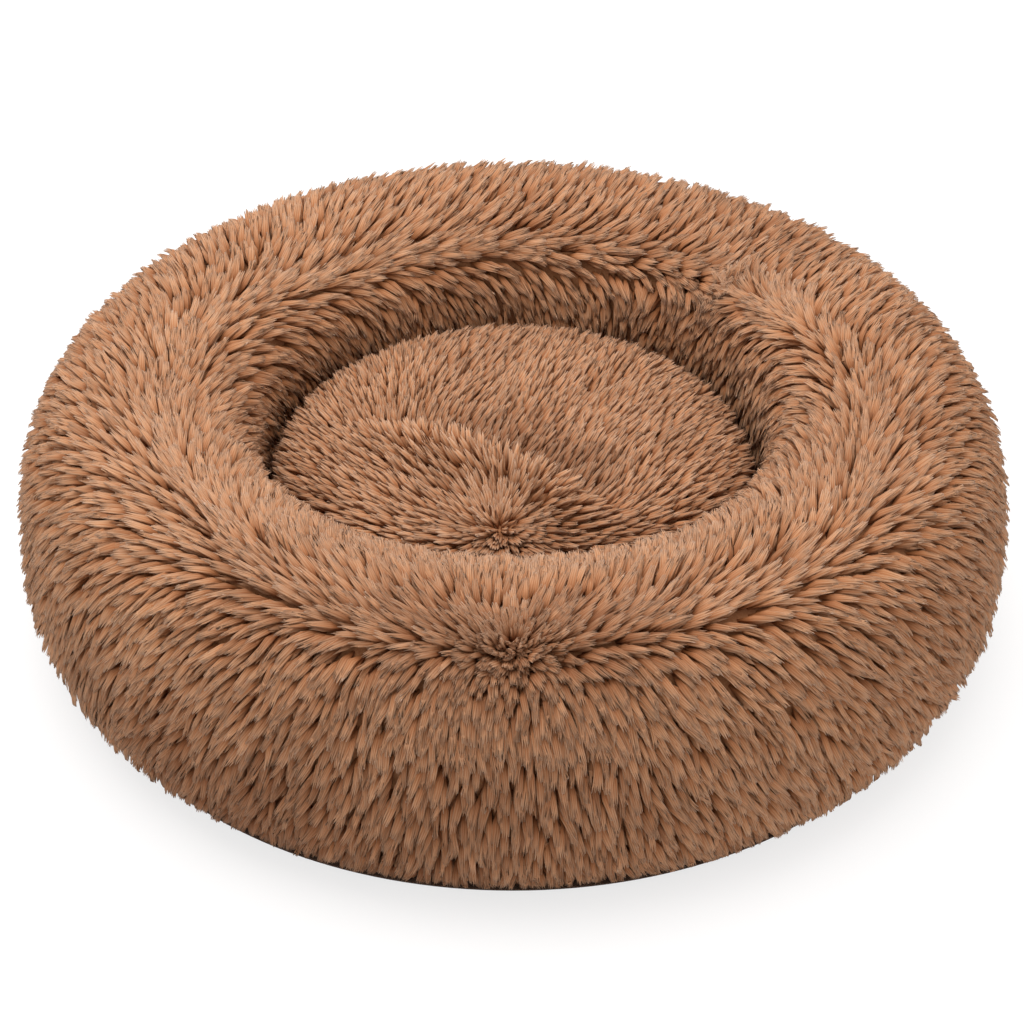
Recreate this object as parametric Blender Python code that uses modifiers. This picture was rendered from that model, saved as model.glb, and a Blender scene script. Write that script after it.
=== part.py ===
"""Round plush cat bed: a stuffed ring with a loose cushion lying in its well.

Metres, +Z up. The origin is on the floor under the middle of the bed, and the back of the bed is at +Y.
The ring's cover is four long-pile panels: an outer and an inner wall that meet at the crest, each sewn from
a left and a right piece. A base with grip pads closes it below. A hidden zip runs low round the back, so that
the stuffed liner can be taken out before the cover is washed.
"""

import math

import bmesh
import bpy
from mathutils import Matrix

# Ring, measured over the tips of the lying pile
OUTER_DIAMETER = 0.500
WELL_DIAMETER = 0.251
HEIGHT = 0.144
WIDEST_HEIGHT = 0.060
NARROWEST_HEIGHT = 0.085
SHOULDER_POWER = 2.6
HIP_POWER = 2.3
HIP_DEPTH_SHARE = 1.12

# Upright seams between the left and the right panels, as angles round Z from the bed's right
FRONT_SEAM = -90.0
BACK_SEAM = 45.0

# Fabrics
PILE_DEPTH = 0.012
BACKING_THICKNESS = 0.0015
LINER_THICKNESS = 0.001
SHORT_PLUSH_THICKNESS = 0.003
FLOOR_THICKNESS = 0.0015
BASE_FABRIC_THICKNESS = 0.001

# Base
BASE_INSET = 0.0084
BINDING_WIDTH = 0.009
WADDING_THICKNESS = 0.030
GRIP_PAD_HEIGHT = 0.0006
GRIP_PAD_RADIUS = 0.0045
GRIP_PAD_PITCH = 0.058
GRIP_PAD_MARGIN = 0.030

# Cushion, measured over the tips of its pile
CUSHION_CLEARANCE = 0.0015
CUSHION_THICKNESS = 0.076
CUSHION_SEAM_RISE = 0.032
CROWN_POWER = 4.0
BELLY_POWER = 3.2

# The soft fold across the cushion: its middle, the way it runs, and its lobe and valley
FOLD_X = -0.003
FOLD_Y = -0.010
FOLD_TURN = -29.0
FOLD_HALF_LENGTH = 0.050
LOBE_RISE = 0.003
LOBE_OFFSET = -0.012
LOBE_HALF_WIDTH = 0.016
VALLEY_DEPTH = 0.007
VALLEY_OFFSET = 0.012
VALLEY_HALF_WIDTH = 0.014
FOLD_REACH_SHARE = 0.85

# Liner's filling slit, on the side that faces the well, at the front
SLIT_LENGTH = 0.060
SLIT_HEIGHT = 0.002

# Zip, which runs level round the back of the long left panel
ZIP_HEIGHT = 0.030
ZIP_TRAVEL = 110.0
ZIP_MIDDLE = 112.5
SLOT_OVERHANG = 6.5
SLOT_HEIGHT = 0.0170
TAPE_THICKNESS = 0.0008
COIL_WIDTH = 0.0016
COIL_DEPTH = 0.0014
STOP_LENGTH = 0.0024
STOP_SPREAD = 0.0008
SLIDER_LENGTH = 0.010
SLIDER_PLATE = 0.001
SLIDER_CLEARANCE = 0.0005
SLIDER_BACK_ROOM = 0.003
SLIDER_LIP = 0.0007
POST_WIDTH = 0.0008
POST_CLEARANCE = 0.0004
POST_LENGTH = 0.0030
LUG_THICKNESS = 0.001
LUG_WALL = 0.0005
PIN_RADIUS = 0.0007
PULL_LENGTH = 0.018
PULL_HEIGHT = 0.0050
PULL_THICKNESS = 0.0012
PULL_CLEARANCE = 0.0003
EYE_WALL = 0.0009
EYE_CLEARANCE = 0.0004

# Gaps between touching pieces, and the overrun of cutters and of joined blocks
SEAM_GAP = 0.0003
FILLING_GAP = 0.0008
OVERRUN = 0.002
WELD = 0.0003
MERGE_DISTANCE = 0.00001

# Fineness of the mesh
TURN_STEPS = 40
SHOULDER_STEPS = 6
HIP_STEPS = 4
CROWN_STEPS = 8
BELLY_STEPS = 4
ZIP_STEP_ANGLE = 4.5
PAD_SIDES = 8
PIN_SIDES = 12

# Worked out from the sizes above
TURN_ANGLE = 360 / TURN_STEPS
OUTER_RADIUS = OUTER_DIAMETER / 2
WELL_RADIUS = WELL_DIAMETER / 2
CREST_RADIUS = (OUTER_RADIUS + WELL_RADIUS) / 2
FUR_THICKNESS = PILE_DEPTH + BACKING_THICKNESS
BASE_TOP = GRIP_PAD_HEIGHT + BASE_FABRIC_THICKNESS
SOLE = BASE_TOP + SEAM_GAP
WADDING_TOP = SOLE + WADDING_THICKNESS
FLOOR_BOTTOM = WADDING_TOP + SEAM_GAP
FLOOR_TOP = FLOOR_BOTTOM + FLOOR_THICKNESS
CUSHION_RADIUS = WELL_RADIUS - CUSHION_CLEARANCE
CUSHION_BOTTOM = FLOOR_TOP + SEAM_GAP
CUSHION_SEAM_HEIGHT = CUSHION_BOTTOM + CUSHION_SEAM_RISE
CUSHION_TOP = CUSHION_BOTTOM + CUSHION_THICKNESS


def reach_below(height, bulge_height, half):
    """How far a side of the section lies from the crest line, at a height under its fullest one."""
    fall = (bulge_height - height) / (bulge_height * HIP_DEPTH_SHARE)
    return half * (1 - fall**HIP_POWER) ** (1 / HIP_POWER)


def outer_radius_below(height):
    return CREST_RADIUS + reach_below(height, WIDEST_HEIGHT, OUTER_RADIUS - CREST_RADIUS)


def well_radius_below(height):
    return CREST_RADIUS - reach_below(height, NARROWEST_HEIGHT, CREST_RADIUS - WELL_RADIUS)


# Worked out from the section's curves
BASE_RADIUS = outer_radius_below(SOLE) - BASE_INSET
SLIDER_BACK = outer_radius_below(ZIP_HEIGHT) - FUR_THICKNESS + SLIDER_BACK_ROOM
ZIP_TAPE_RADIUS = SLIDER_BACK + SLIDER_PLATE + SLIDER_CLEARANCE
COIL_GAP = POST_WIDTH + 2 * POST_CLEARANCE
COIL_BACK = ZIP_TAPE_RADIUS + TAPE_THICKNESS + SEAM_GAP
COIL_FRONT = COIL_BACK + COIL_DEPTH
SLIDER_FRONT = COIL_FRONT + SLIDER_CLEARANCE + SLIDER_PLATE
SLIDER_HEIGHT = PULL_HEIGHT + 2 * (PULL_CLEARANCE + LUG_THICKNESS + SLIDER_LIP)
EYE_BORE = PIN_RADIUS + PULL_CLEARANCE
EYE_RADIUS = EYE_BORE + EYE_WALL
PIN_AXIS_RADIUS = SLIDER_FRONT + EYE_CLEARANCE + EYE_RADIUS
LUG_LENGTH = 2 * (PIN_RADIUS + LUG_WALL)
ZIP_CLOSED_ANGLE = ZIP_MIDDLE - ZIP_TRAVEL / 2
ZIP_OPEN_ANGLE = ZIP_MIDDLE + ZIP_TRAVEL / 2


def clear_scene():
    for obj in list(bpy.data.objects):
        bpy.data.objects.remove(obj)


def collection(name):
    made = bpy.data.collections.new(name)
    bpy.context.scene.collection.children.link(made)
    return made


def colour(hex_code):
    """An sRGB hex colour as the linear values that a material takes."""
    shares = [int(hex_code[i : i + 2], 16) / 255 for i in (1, 3, 5)]
    return [s / 12.92 if s <= 0.04045 else ((s + 0.055) / 1.055) ** 2.4 for s in shares] + [1.0]


def material(name, hex_code, roughness, metallic=0.0):
    made = bpy.data.materials.new(name)
    made.use_nodes = True
    shader = made.node_tree.nodes["Principled BSDF"]
    shader.inputs["Base Color"].default_value = colour(hex_code)
    shader.inputs["Roughness"].default_value = roughness
    shader.inputs["Metallic"].default_value = metallic
    made.diffuse_color = colour(hex_code)
    return made


def add_object(name, mesh, made_of, group):
    obj = bpy.data.objects.new(name, mesh)
    if made_of:
        mesh.materials.append(made_of)
    group.objects.link(obj)
    return obj


def as_cutter(obj):
    obj.hide_render = True
    obj.display_type = "WIRE"
    return obj


def combine(obj, other, operation):
    """Joins another object to this one, or cuts it away, with an exact Boolean."""
    boolean = obj.modifiers.new(operation.title(), "BOOLEAN")
    boolean.operation = operation
    boolean.solver = "EXACT"
    boolean.object = as_cutter(other)


def bulge(start, end, steps, middle, semi, power):
    """Points of a rounded square arc in r and z, at even angles, where 0 degrees is outwards and 90 is up."""
    points = []
    for i in range(steps + 1):
        angle = math.radians(start + (end - start) * i / steps)
        across = math.copysign(abs(math.cos(angle)) ** (2 / power), math.cos(angle))
        upward = math.copysign(abs(math.sin(angle)) ** (2 / power), math.sin(angle))
        points.append((middle[0] + semi[0] * across, middle[1] + semi[1] * upward))
    return points


def hip_angle(height):
    """How far round the lower quarter of the section reaches before it meets the sole."""
    return math.degrees(math.asin(((height - SOLE) / (height * HIP_DEPTH_SHARE)) ** (HIP_POWER / 2)))


def outer_side(shoulder_steps, hip_steps):
    """The ring's outer side in section, from the crest down to the sole."""
    half = OUTER_RADIUS - CREST_RADIUS
    middle = (CREST_RADIUS, WIDEST_HEIGHT)
    upper = bulge(90, 0, shoulder_steps, middle, (half, HEIGHT - WIDEST_HEIGHT), SHOULDER_POWER)
    drop = (half, WIDEST_HEIGHT * HIP_DEPTH_SHARE)
    return upper + bulge(0, -hip_angle(WIDEST_HEIGHT), hip_steps, middle, drop, HIP_POWER)[1:]


def inner_side(shoulder_steps, hip_steps):
    """The ring's side that faces the well, in section, from the sole up to the crest."""
    half = CREST_RADIUS - WELL_RADIUS
    middle = (CREST_RADIUS, NARROWEST_HEIGHT)
    drop = (half, NARROWEST_HEIGHT * HIP_DEPTH_SHARE)
    lower = bulge(-180 + hip_angle(NARROWEST_HEIGHT), -180, hip_steps, middle, drop, HIP_POWER)
    rise = (half, HEIGHT - NARROWEST_HEIGHT)
    return lower + bulge(180, 90, shoulder_steps, middle, rise, SHOULDER_POWER)[1:-1]


def inset(points, distances):
    """Moves each edge of a clockwise closed outline inwards by its own distance and joins the edges again."""
    count = len(points)
    lines = []
    for i in range(count):
        (r0, z0), (r1, z1) = points[i], points[(i + 1) % count]
        length = math.hypot(r1 - r0, z1 - z0)
        along = ((r1 - r0) / length, (z1 - z0) / length)
        lines.append((r0 + along[1] * distances[i], z0 - along[0] * distances[i], along))
    moved = []
    for i in range(count):
        r0, z0, before = lines[i - 1]
        r1, z1, after = lines[i]
        cross = before[0] * after[1] - before[1] * after[0]
        reach = ((r1 - r0) * after[1] - (z1 - z0) * after[0]) / cross
        moved.append((r0 + before[0] * reach, z0 + before[1] * reach))
    return moved


def ring_outline(shoulder_steps, hip_steps, depth, rise):
    """The ring's whole section, set in by a depth from its skin and by a rise from its sole."""
    outer = outer_side(shoulder_steps, hip_steps)
    inner = inner_side(shoulder_steps, hip_steps)
    sole_edge = len(outer) - 1
    depths = [rise if i == sole_edge else depth for i in range(len(outer) + len(inner))]
    return inset(outer + inner, depths)


def turned(name, loops, made_of, group):
    """Turns outlines in the XZ plane round Z. An outline that starts on the axis is left open there."""
    points, edges = [], []
    for loop in loops:
        first = len(points)
        points += [(r, 0, z) for r, z in loop]
        edges += [(first + i, first + i + 1) for i in range(len(loop) - 1)]
        if loop[0][0] > 0:
            edges.append((len(points) - 1, first))
    mesh = bpy.data.meshes.new(name)
    mesh.from_pydata(points, edges, [])
    obj = add_object(name, mesh, made_of, group)
    screw = obj.modifiers.new("Turn", "SCREW")
    screw.steps = TURN_STEPS
    screw.render_steps = TURN_STEPS
    screw.use_merge_vertices = True
    screw.merge_threshold = MERGE_DISTANCE
    return obj


def swept(name, loop, start, end, step_angle, made_of, group):
    """Sweeps a closed outline in the XZ plane round Z, from one angle to another, and closes its ends."""
    shape = bmesh.new()
    face = shape.faces.new([shape.verts.new((r, 0, z)) for r, z in loop])
    bmesh.ops.rotate(shape, verts=face.verts, cent=(0, 0, 0), matrix=Matrix.Rotation(math.radians(start), 3, "Z"))
    steps = max(1, round((end - start) / step_angle))
    geometry = [face] + list(face.edges) + list(face.verts)
    turn = math.radians(end - start)
    bmesh.ops.spin(shape, geom=geometry, cent=(0, 0, 0), axis=(0, 0, 1), angle=turn, steps=steps)
    bmesh.ops.recalc_face_normals(shape, faces=shape.faces)
    mesh = bpy.data.meshes.new(name)
    shape.to_mesh(mesh)
    shape.free()
    return add_object(name, mesh, made_of, group)


def arc_bar(name, inner, outer, bottom, top, start, end, made_of, group):
    """A bar of rectangular section bent round Z."""
    corners = [(inner, bottom), (outer, bottom), (outer, top), (inner, top)]
    return swept(name, corners, start, end, ZIP_STEP_ANGLE, made_of, group)


def block(name, low, high, made_of, group):
    """A box between two corners."""
    shape = bmesh.new()
    bmesh.ops.create_cube(shape, size=1.0)
    size = [b - a for a, b in zip(low, high)]
    middle = [(a + b) / 2 for a, b in zip(low, high)]
    bmesh.ops.scale(shape, vec=size, verts=shape.verts)
    bmesh.ops.translate(shape, vec=middle, verts=shape.verts)
    mesh = bpy.data.meshes.new(name)
    shape.to_mesh(mesh)
    shape.free()
    return add_object(name, mesh, made_of, group)


def upright_rod(name, radius, centre, bottom, top, sides, group):
    """A rod that stands along Z."""
    shape = bmesh.new()
    bmesh.ops.create_cone(
        shape, cap_ends=True, segments=sides, radius1=radius, radius2=radius, depth=top - bottom
    )
    bmesh.ops.translate(shape, vec=(centre[0], centre[1], (bottom + top) / 2), verts=shape.verts)
    mesh = bpy.data.meshes.new(name)
    shape.to_mesh(mesh)
    shape.free()
    return add_object(name, mesh, None, group)


def at_angle(obj, angle):
    """Turns an object that was made on +X to its place round the ring."""
    obj.rotation_euler = (0, 0, math.radians(angle))
    return obj


def arc_degrees(length, radius):
    return math.degrees(length / radius)


def facet_line(angle):
    """The nearest to an angle of the lines along which the turned pieces' facets meet."""
    return round(angle / TURN_ANGLE) * TURN_ANGLE


def make_wall_panels(fur, parts, cutters):
    """The four long-pile panels of the ring's cover, sewn at the crest, at the front and at the back."""
    outer = outer_side(SHOULDER_STEPS, HIP_STEPS)
    inner = inner_side(SHOULDER_STEPS, HIP_STEPS)
    hidden = ring_outline(SHOULDER_STEPS, HIP_STEPS, FUR_THICKNESS, 0)
    crest_outside = CREST_RADIUS + SEAM_GAP / 2
    crest_inside = CREST_RADIUS - SEAM_GAP / 2
    under_crest = HEIGHT - FUR_THICKNESS
    outer_back = hidden[1 : len(outer)]
    outer_loop = [(crest_outside, HEIGHT)] + outer[1:] + outer_back[::-1] + [(crest_outside, under_crest)]
    inner_back = hidden[len(outer) :]
    inner_loop = [(crest_inside, under_crest)] + inner_back[::-1] + inner + [(crest_inside, HEIGHT)]

    half_gap = arc_degrees(SEAM_GAP / 2, WELL_RADIUS)
    front, back = facet_line(FRONT_SEAM), facet_line(BACK_SEAM)
    right = (front + half_gap, back - half_gap, TURN_ANGLE)
    left = (back + half_gap, front + 360 - half_gap, TURN_ANGLE)
    swept("outer_wall_right", outer_loop, *right, fur, parts)
    swept("inner_wall_right", inner_loop, *right, fur, parts)
    swept("inner_wall_left", inner_loop, *left, fur, parts)
    wall = swept("outer_wall_left", outer_loop, *left, fur, parts)

    slot = arc_bar(
        "zip_slot_cutter",
        CREST_RADIUS,
        OUTER_RADIUS + OVERRUN,
        ZIP_HEIGHT - SLOT_HEIGHT / 2,
        ZIP_HEIGHT + SLOT_HEIGHT / 2,
        ZIP_CLOSED_ANGLE - SLOT_OVERHANG,
        ZIP_OPEN_ANGLE + SLOT_OVERHANG,
        None,
        cutters,
    )
    combine(wall, slot, "DIFFERENCE")


def make_insert(liner_cloth, fibre, parts, cutters):
    """The stuffed ring inside the cover: a non-woven liner with its filling slit, and the fibre filling."""
    steps = (SHOULDER_STEPS // 2, HIP_STEPS)
    skin = FUR_THICKNESS + SEAM_GAP
    outside = ring_outline(*steps, skin, 0)
    inside = ring_outline(*steps, skin + LINER_THICKNESS, LINER_THICKNESS)
    liner = turned("ring_liner", [outside, inside[::-1]], liner_cloth, parts)

    narrowest = WELL_RADIUS + skin
    slit = block(
        "filling_slit_cutter",
        (-SLIT_LENGTH / 2, -narrowest - LINER_THICKNESS - OVERRUN, NARROWEST_HEIGHT - SLIT_HEIGHT / 2),
        (SLIT_LENGTH / 2, -narrowest + OVERRUN, NARROWEST_HEIGHT + SLIT_HEIGHT / 2),
        None,
        cutters,
    )
    combine(liner, slit, "DIFFERENCE")

    depth = skin + LINER_THICKNESS + FILLING_GAP
    rise = LINER_THICKNESS + FILLING_GAP
    turned("ring_filling", [ring_outline(*steps, depth, rise)], fibre, parts)


def make_base(oxford, grip, wadding, lining, parts, cutters):
    """The underside: base cloth with fused grip pads, flat binding, wadding, and the lining of the well's floor."""
    cloth = turned(
        "base_panel",
        [[(0, BASE_TOP), (BASE_RADIUS, BASE_TOP), (BASE_RADIUS, GRIP_PAD_HEIGHT), (0, GRIP_PAD_HEIGHT)]],
        oxford,
        parts,
    )
    pads = bmesh.new()
    rings = int((BASE_RADIUS - GRIP_PAD_MARGIN) / GRIP_PAD_PITCH)
    for row in range(-rings, rings + 1):
        for column in range(-rings, rings + 1):
            if abs(row + column) > rings:
                continue
            x = GRIP_PAD_PITCH * (column + row / 2)
            y = GRIP_PAD_PITCH * row * math.sqrt(3) / 2
            middle = (GRIP_PAD_HEIGHT + BASE_TOP) / 4
            bmesh.ops.create_cone(
                pads,
                cap_ends=True,
                segments=PAD_SIDES,
                radius1=GRIP_PAD_RADIUS,
                radius2=GRIP_PAD_RADIUS,
                depth=2 * middle,
                matrix=Matrix.Translation((x, y, middle)),
            )
    mesh = bpy.data.meshes.new("grip_pads")
    pads.to_mesh(mesh)
    pads.free()
    combine(cloth, add_object("grip_pads_joiner", mesh, grip, cutters), "UNION")

    edge = BASE_RADIUS + SEAM_GAP
    rim = edge + BINDING_WIDTH
    flat_ring = [(edge, BASE_TOP), (rim, BASE_TOP), (rim, GRIP_PAD_HEIGHT), (edge, GRIP_PAD_HEIGHT)]
    turned("base_binding", [flat_ring], oxford, parts)

    heights = [WADDING_TOP + (SOLE - WADDING_TOP) * i / HIP_STEPS for i in range(HIP_STEPS + 1)]
    side = [(well_radius_below(height) - SEAM_GAP, height) for height in heights]
    turned("base_wadding", [[(0, WADDING_TOP)] + side + [(0, SOLE)]], wadding, parts)

    floor_edge = well_radius_below(FLOOR_TOP) - SEAM_GAP
    floor = [(0, FLOOR_TOP), (floor_edge, FLOOR_TOP), (floor_edge, FLOOR_BOTTOM), (0, FLOOR_BOTTOM)]
    turned("floor_panel", [floor], lining, parts)


def make_zip(tape_cloth, nylon, metal, parts):
    """The zip's two tapes, two coils and three end stops, all still while the slider runs."""
    low, high = ZIP_HEIGHT - SLOT_HEIGHT / 2, ZIP_HEIGHT + SLOT_HEIGHT / 2
    tape = (ZIP_TAPE_RADIUS, ZIP_TAPE_RADIUS + TAPE_THICKNESS)
    end_gap = arc_degrees(SEAM_GAP, ZIP_TAPE_RADIUS)
    start = ZIP_CLOSED_ANGLE - SLOT_OVERHANG + end_gap
    end = ZIP_OPEN_ANGLE + SLOT_OVERHANG - end_gap
    near, far = COIL_GAP / 2, COIL_GAP / 2 + COIL_WIDTH
    arc_bar("zip_tape_upper", *tape, ZIP_HEIGHT + near, high - SEAM_GAP, start, end, tape_cloth, parts)
    arc_bar("zip_tape_lower", *tape, low + SEAM_GAP, ZIP_HEIGHT - near, start, end, tape_cloth, parts)

    beyond = arc_degrees(SLIDER_LENGTH / 2 + SLIDER_CLEARANCE, COIL_BACK)
    first, last = ZIP_CLOSED_ANGLE - beyond, ZIP_OPEN_ANGLE + beyond
    coil = (COIL_BACK, COIL_FRONT)
    arc_bar("zip_coil_upper", *coil, ZIP_HEIGHT + near, ZIP_HEIGHT + far, first, last, nylon, parts)
    arc_bar("zip_coil_lower", *coil, ZIP_HEIGHT - far, ZIP_HEIGHT - near, first, last, nylon, parts)

    past = arc_degrees(SEAM_GAP + STOP_LENGTH / 2, COIL_BACK)
    half = STOP_LENGTH / 2
    tall = far + STOP_SPREAD
    upper = block(
        "zip_top_stop_upper",
        (COIL_BACK, -half, ZIP_HEIGHT + near),
        (COIL_FRONT, half, ZIP_HEIGHT + tall),
        metal,
        parts,
    )
    lower = block(
        "zip_top_stop_lower",
        (COIL_BACK, -half, ZIP_HEIGHT - tall),
        (COIL_FRONT, half, ZIP_HEIGHT - near),
        metal,
        parts,
    )
    bottom = block(
        "zip_bottom_stop",
        (COIL_BACK, -half, ZIP_HEIGHT - tall),
        (COIL_FRONT, half, ZIP_HEIGHT + tall),
        metal,
        parts,
    )
    at_angle(upper, first - past)
    at_angle(lower, first - past)
    at_angle(bottom, last + past)


def make_slider(metal, parts, cutters):
    """The slider, with its origin on the bed's axis, and its pull tab, with its origin on the slider's pin."""
    half_length, half_height = SLIDER_LENGTH / 2, SLIDER_HEIGHT / 2
    plate_back = SLIDER_FRONT - SLIDER_PLATE
    inner_front = SLIDER_BACK + SLIDER_PLATE
    slider = block(
        "zip_slider",
        (plate_back, -half_length, ZIP_HEIGHT - half_height),
        (SLIDER_FRONT, half_length, ZIP_HEIGHT + half_height),
        metal,
        parts,
    )
    inner_plate = block(
        "slider_inner_plate",
        (SLIDER_BACK, -half_length, ZIP_HEIGHT - half_height),
        (inner_front, half_length, ZIP_HEIGHT + half_height),
        None,
        cutters,
    )
    post = block(
        "slider_post",
        (inner_front - WELD, -POST_LENGTH / 2, ZIP_HEIGHT - POST_WIDTH / 2),
        (plate_back + WELD, POST_LENGTH / 2, ZIP_HEIGHT + POST_WIDTH / 2),
        None,
        cutters,
    )
    eye_half = PULL_HEIGHT / 2
    lug_low = eye_half + PULL_CLEARANCE
    lug_high = lug_low + LUG_THICKNESS
    lug_reach = PIN_AXIS_RADIUS + LUG_LENGTH / 2
    upper_lug = block(
        "slider_upper_lug",
        (SLIDER_FRONT - WELD, -LUG_LENGTH / 2, ZIP_HEIGHT + lug_low),
        (lug_reach, LUG_LENGTH / 2, ZIP_HEIGHT + lug_high),
        None,
        cutters,
    )
    lower_lug = block(
        "slider_lower_lug",
        (SLIDER_FRONT - WELD, -LUG_LENGTH / 2, ZIP_HEIGHT - lug_high),
        (lug_reach, LUG_LENGTH / 2, ZIP_HEIGHT - lug_low),
        None,
        cutters,
    )
    pin = upright_rod(
        "slider_pin",
        PIN_RADIUS,
        (PIN_AXIS_RADIUS, 0),
        ZIP_HEIGHT - lug_low - WELD,
        ZIP_HEIGHT + lug_low + WELD,
        PIN_SIDES,
        cutters,
    )
    for piece in (post, inner_plate, upper_lug, lower_lug, pin):
        piece.parent = slider
        combine(slider, piece, "UNION")
    at_angle(slider, ZIP_CLOSED_ANGLE)

    pull = block(
        "zip_pull_tab",
        (-PULL_THICKNESS / 2, EYE_BORE + EYE_WALL / 2, -eye_half),
        (PULL_THICKNESS / 2, EYE_BORE + PULL_LENGTH, eye_half),
        metal,
        parts,
    )
    eye = upright_rod("pull_eye", EYE_RADIUS, (0, 0), -eye_half, eye_half, PIN_SIDES, cutters)
    bore = upright_rod("pull_bore", EYE_BORE, (0, 0), -eye_half - OVERRUN, eye_half + OVERRUN, PIN_SIDES, cutters)
    for piece, operation in ((eye, "UNION"), (bore, "DIFFERENCE")):
        piece.parent = pull
        combine(pull, piece, operation)
    pull.parent = slider
    pull.location = (PIN_AXIS_RADIUS, 0, ZIP_HEIGHT)


def fold_height(x, y):
    """How far the fold lifts or lowers the cushion's top: a soft lobe in front and a valley behind it."""
    turn = math.radians(FOLD_TURN)
    along = (x - FOLD_X) * math.cos(turn) + (y - FOLD_Y) * math.sin(turn)
    across = (y - FOLD_Y) * math.cos(turn) - (x - FOLD_X) * math.sin(turn)
    lobe = LOBE_RISE * math.exp(-(((across - LOBE_OFFSET) / LOBE_HALF_WIDTH) ** 2))
    valley = VALLEY_DEPTH * math.exp(-(((across - VALLEY_OFFSET) / VALLEY_HALF_WIDTH) ** 2))
    length_fade = math.exp(-((along / FOLD_HALF_LENGTH) ** 2))
    out = math.hypot(x, y) / (CUSHION_RADIUS * FOLD_REACH_SHARE)
    rim_fade = max(0.0, 1 - out**2)
    return (lobe - valley) * length_fade * min(1.0, 2 * rim_fade)


def press_fold(obj, above):
    """Makes a turned piece plain mesh and moves what lies above a height by the fold."""
    bpy.context.view_layer.update()
    shaped = bpy.data.meshes.new_from_object(obj.evaluated_get(bpy.context.evaluated_depsgraph_get()))
    obj.modifiers.clear()
    obj.data = shaped
    for vertex in shaped.vertices:
        if vertex.co.z > above:
            vertex.co.z += fold_height(vertex.co.x, vertex.co.y)


def crown(depth, seam):
    """The cushion's upper half in section, set in by a depth, from the axis out to the seam."""
    rise = CUSHION_TOP - CUSHION_SEAM_HEIGHT
    arc = bulge(90, 0, CROWN_STEPS, (0, CUSHION_SEAM_HEIGHT), (CUSHION_RADIUS - depth, rise - depth), CROWN_POWER)
    return [(0, arc[0][1])] + arc[1:-1] + [(arc[-1][0], seam)]


def belly(depth, seam):
    """The cushion's lower half in section, set in by a depth, from the seam in to the axis."""
    drop = CUSHION_SEAM_HEIGHT - CUSHION_BOTTOM
    arc = bulge(0, -90, BELLY_STEPS, (0, CUSHION_SEAM_HEIGHT), (CUSHION_RADIUS - depth, drop - depth), BELLY_POWER)
    return [(arc[0][0], seam)] + arc[1:-1] + [(0, arc[-1][1])]


def make_cushion(fur, short_plush, fibre, parts):
    """The loose cushion: long pile on top, short plush below, sewn at the side seam round a fibre filling."""
    upper_seam = CUSHION_SEAM_HEIGHT + SEAM_GAP / 2
    lower_seam = CUSHION_SEAM_HEIGHT - SEAM_GAP / 2
    top_loop = crown(0, upper_seam) + crown(FUR_THICKNESS, upper_seam)[::-1]
    top = turned("cushion_top_panel", [top_loop], fur, parts)
    press_fold(top, upper_seam)

    under_loop = belly(SHORT_PLUSH_THICKNESS, lower_seam)[::-1] + belly(0, lower_seam)
    turned("cushion_bottom_panel", [under_loop], short_plush, parts)

    upper = crown(FUR_THICKNESS + FILLING_GAP, CUSHION_SEAM_HEIGHT)
    waist = upper[-1][0]
    lower = [p for p in belly(SHORT_PLUSH_THICKNESS + FILLING_GAP, CUSHION_SEAM_HEIGHT) if p[0] < waist]
    filling = turned("cushion_filling", [upper + lower], fibre, parts)
    press_fold(filling, CUSHION_SEAM_HEIGHT)


clear_scene()
parts_group = collection("round_cat_bed")
cutter_group = collection("cutters")

long_pile = material("Long polyester pile", "#B18562", 0.95)
cushion_pile = material("Long polyester pile of the cushion", "#AE8261", 0.95)
liner_fabric = material("White non-woven liner", "#E6E2DA", 0.9)
fibre_fill = material("Hollow polyester fibre", "#F2F0EA", 0.95)
oxford_cloth = material("Brown oxford cloth", "#4B3527", 0.85)
grip_vinyl = material("Dark vinyl grip pads", "#2C2420", 0.6)
floor_cloth = material("Brown brushed lining", "#8C6448", 0.95)
wadding_felt = material("Bonded wadding", "#DDD8CE", 0.95)
underside_plush = material("Brown short plush", "#94694B", 0.95)
zip_tape = material("Brown woven zip tape", "#7A5138", 0.85)
zip_nylon = material("Brown nylon coil", "#6B4630", 0.45)
slider_metal = material("Bronzed zinc", "#8A6E50", 0.4, 1.0)

make_wall_panels(long_pile, parts_group, cutter_group)
make_insert(liner_fabric, fibre_fill, parts_group, cutter_group)
make_base(oxford_cloth, grip_vinyl, wadding_felt, floor_cloth, parts_group, cutter_group)
make_zip(zip_tape, zip_nylon, slider_metal, parts_group)
make_slider(slider_metal, parts_group, cutter_group)
make_cushion(cushion_pile, underside_plush, fibre_fill, parts_group)
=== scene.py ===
"""Looks of a round plush cat bed: a stuffed ring in long brown pile, with a loose cushion lying in its well.

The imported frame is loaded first. Each section below then makes one piece, or one group of like pieces, in the
order in which the bed is put together. Metres, +Z up, with the front of the bed at -Y.
"""

import math

import bpy
import numpy as np
from mathutils import Matrix, Vector
from mathutils.bvhtree import BVHTree


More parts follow.
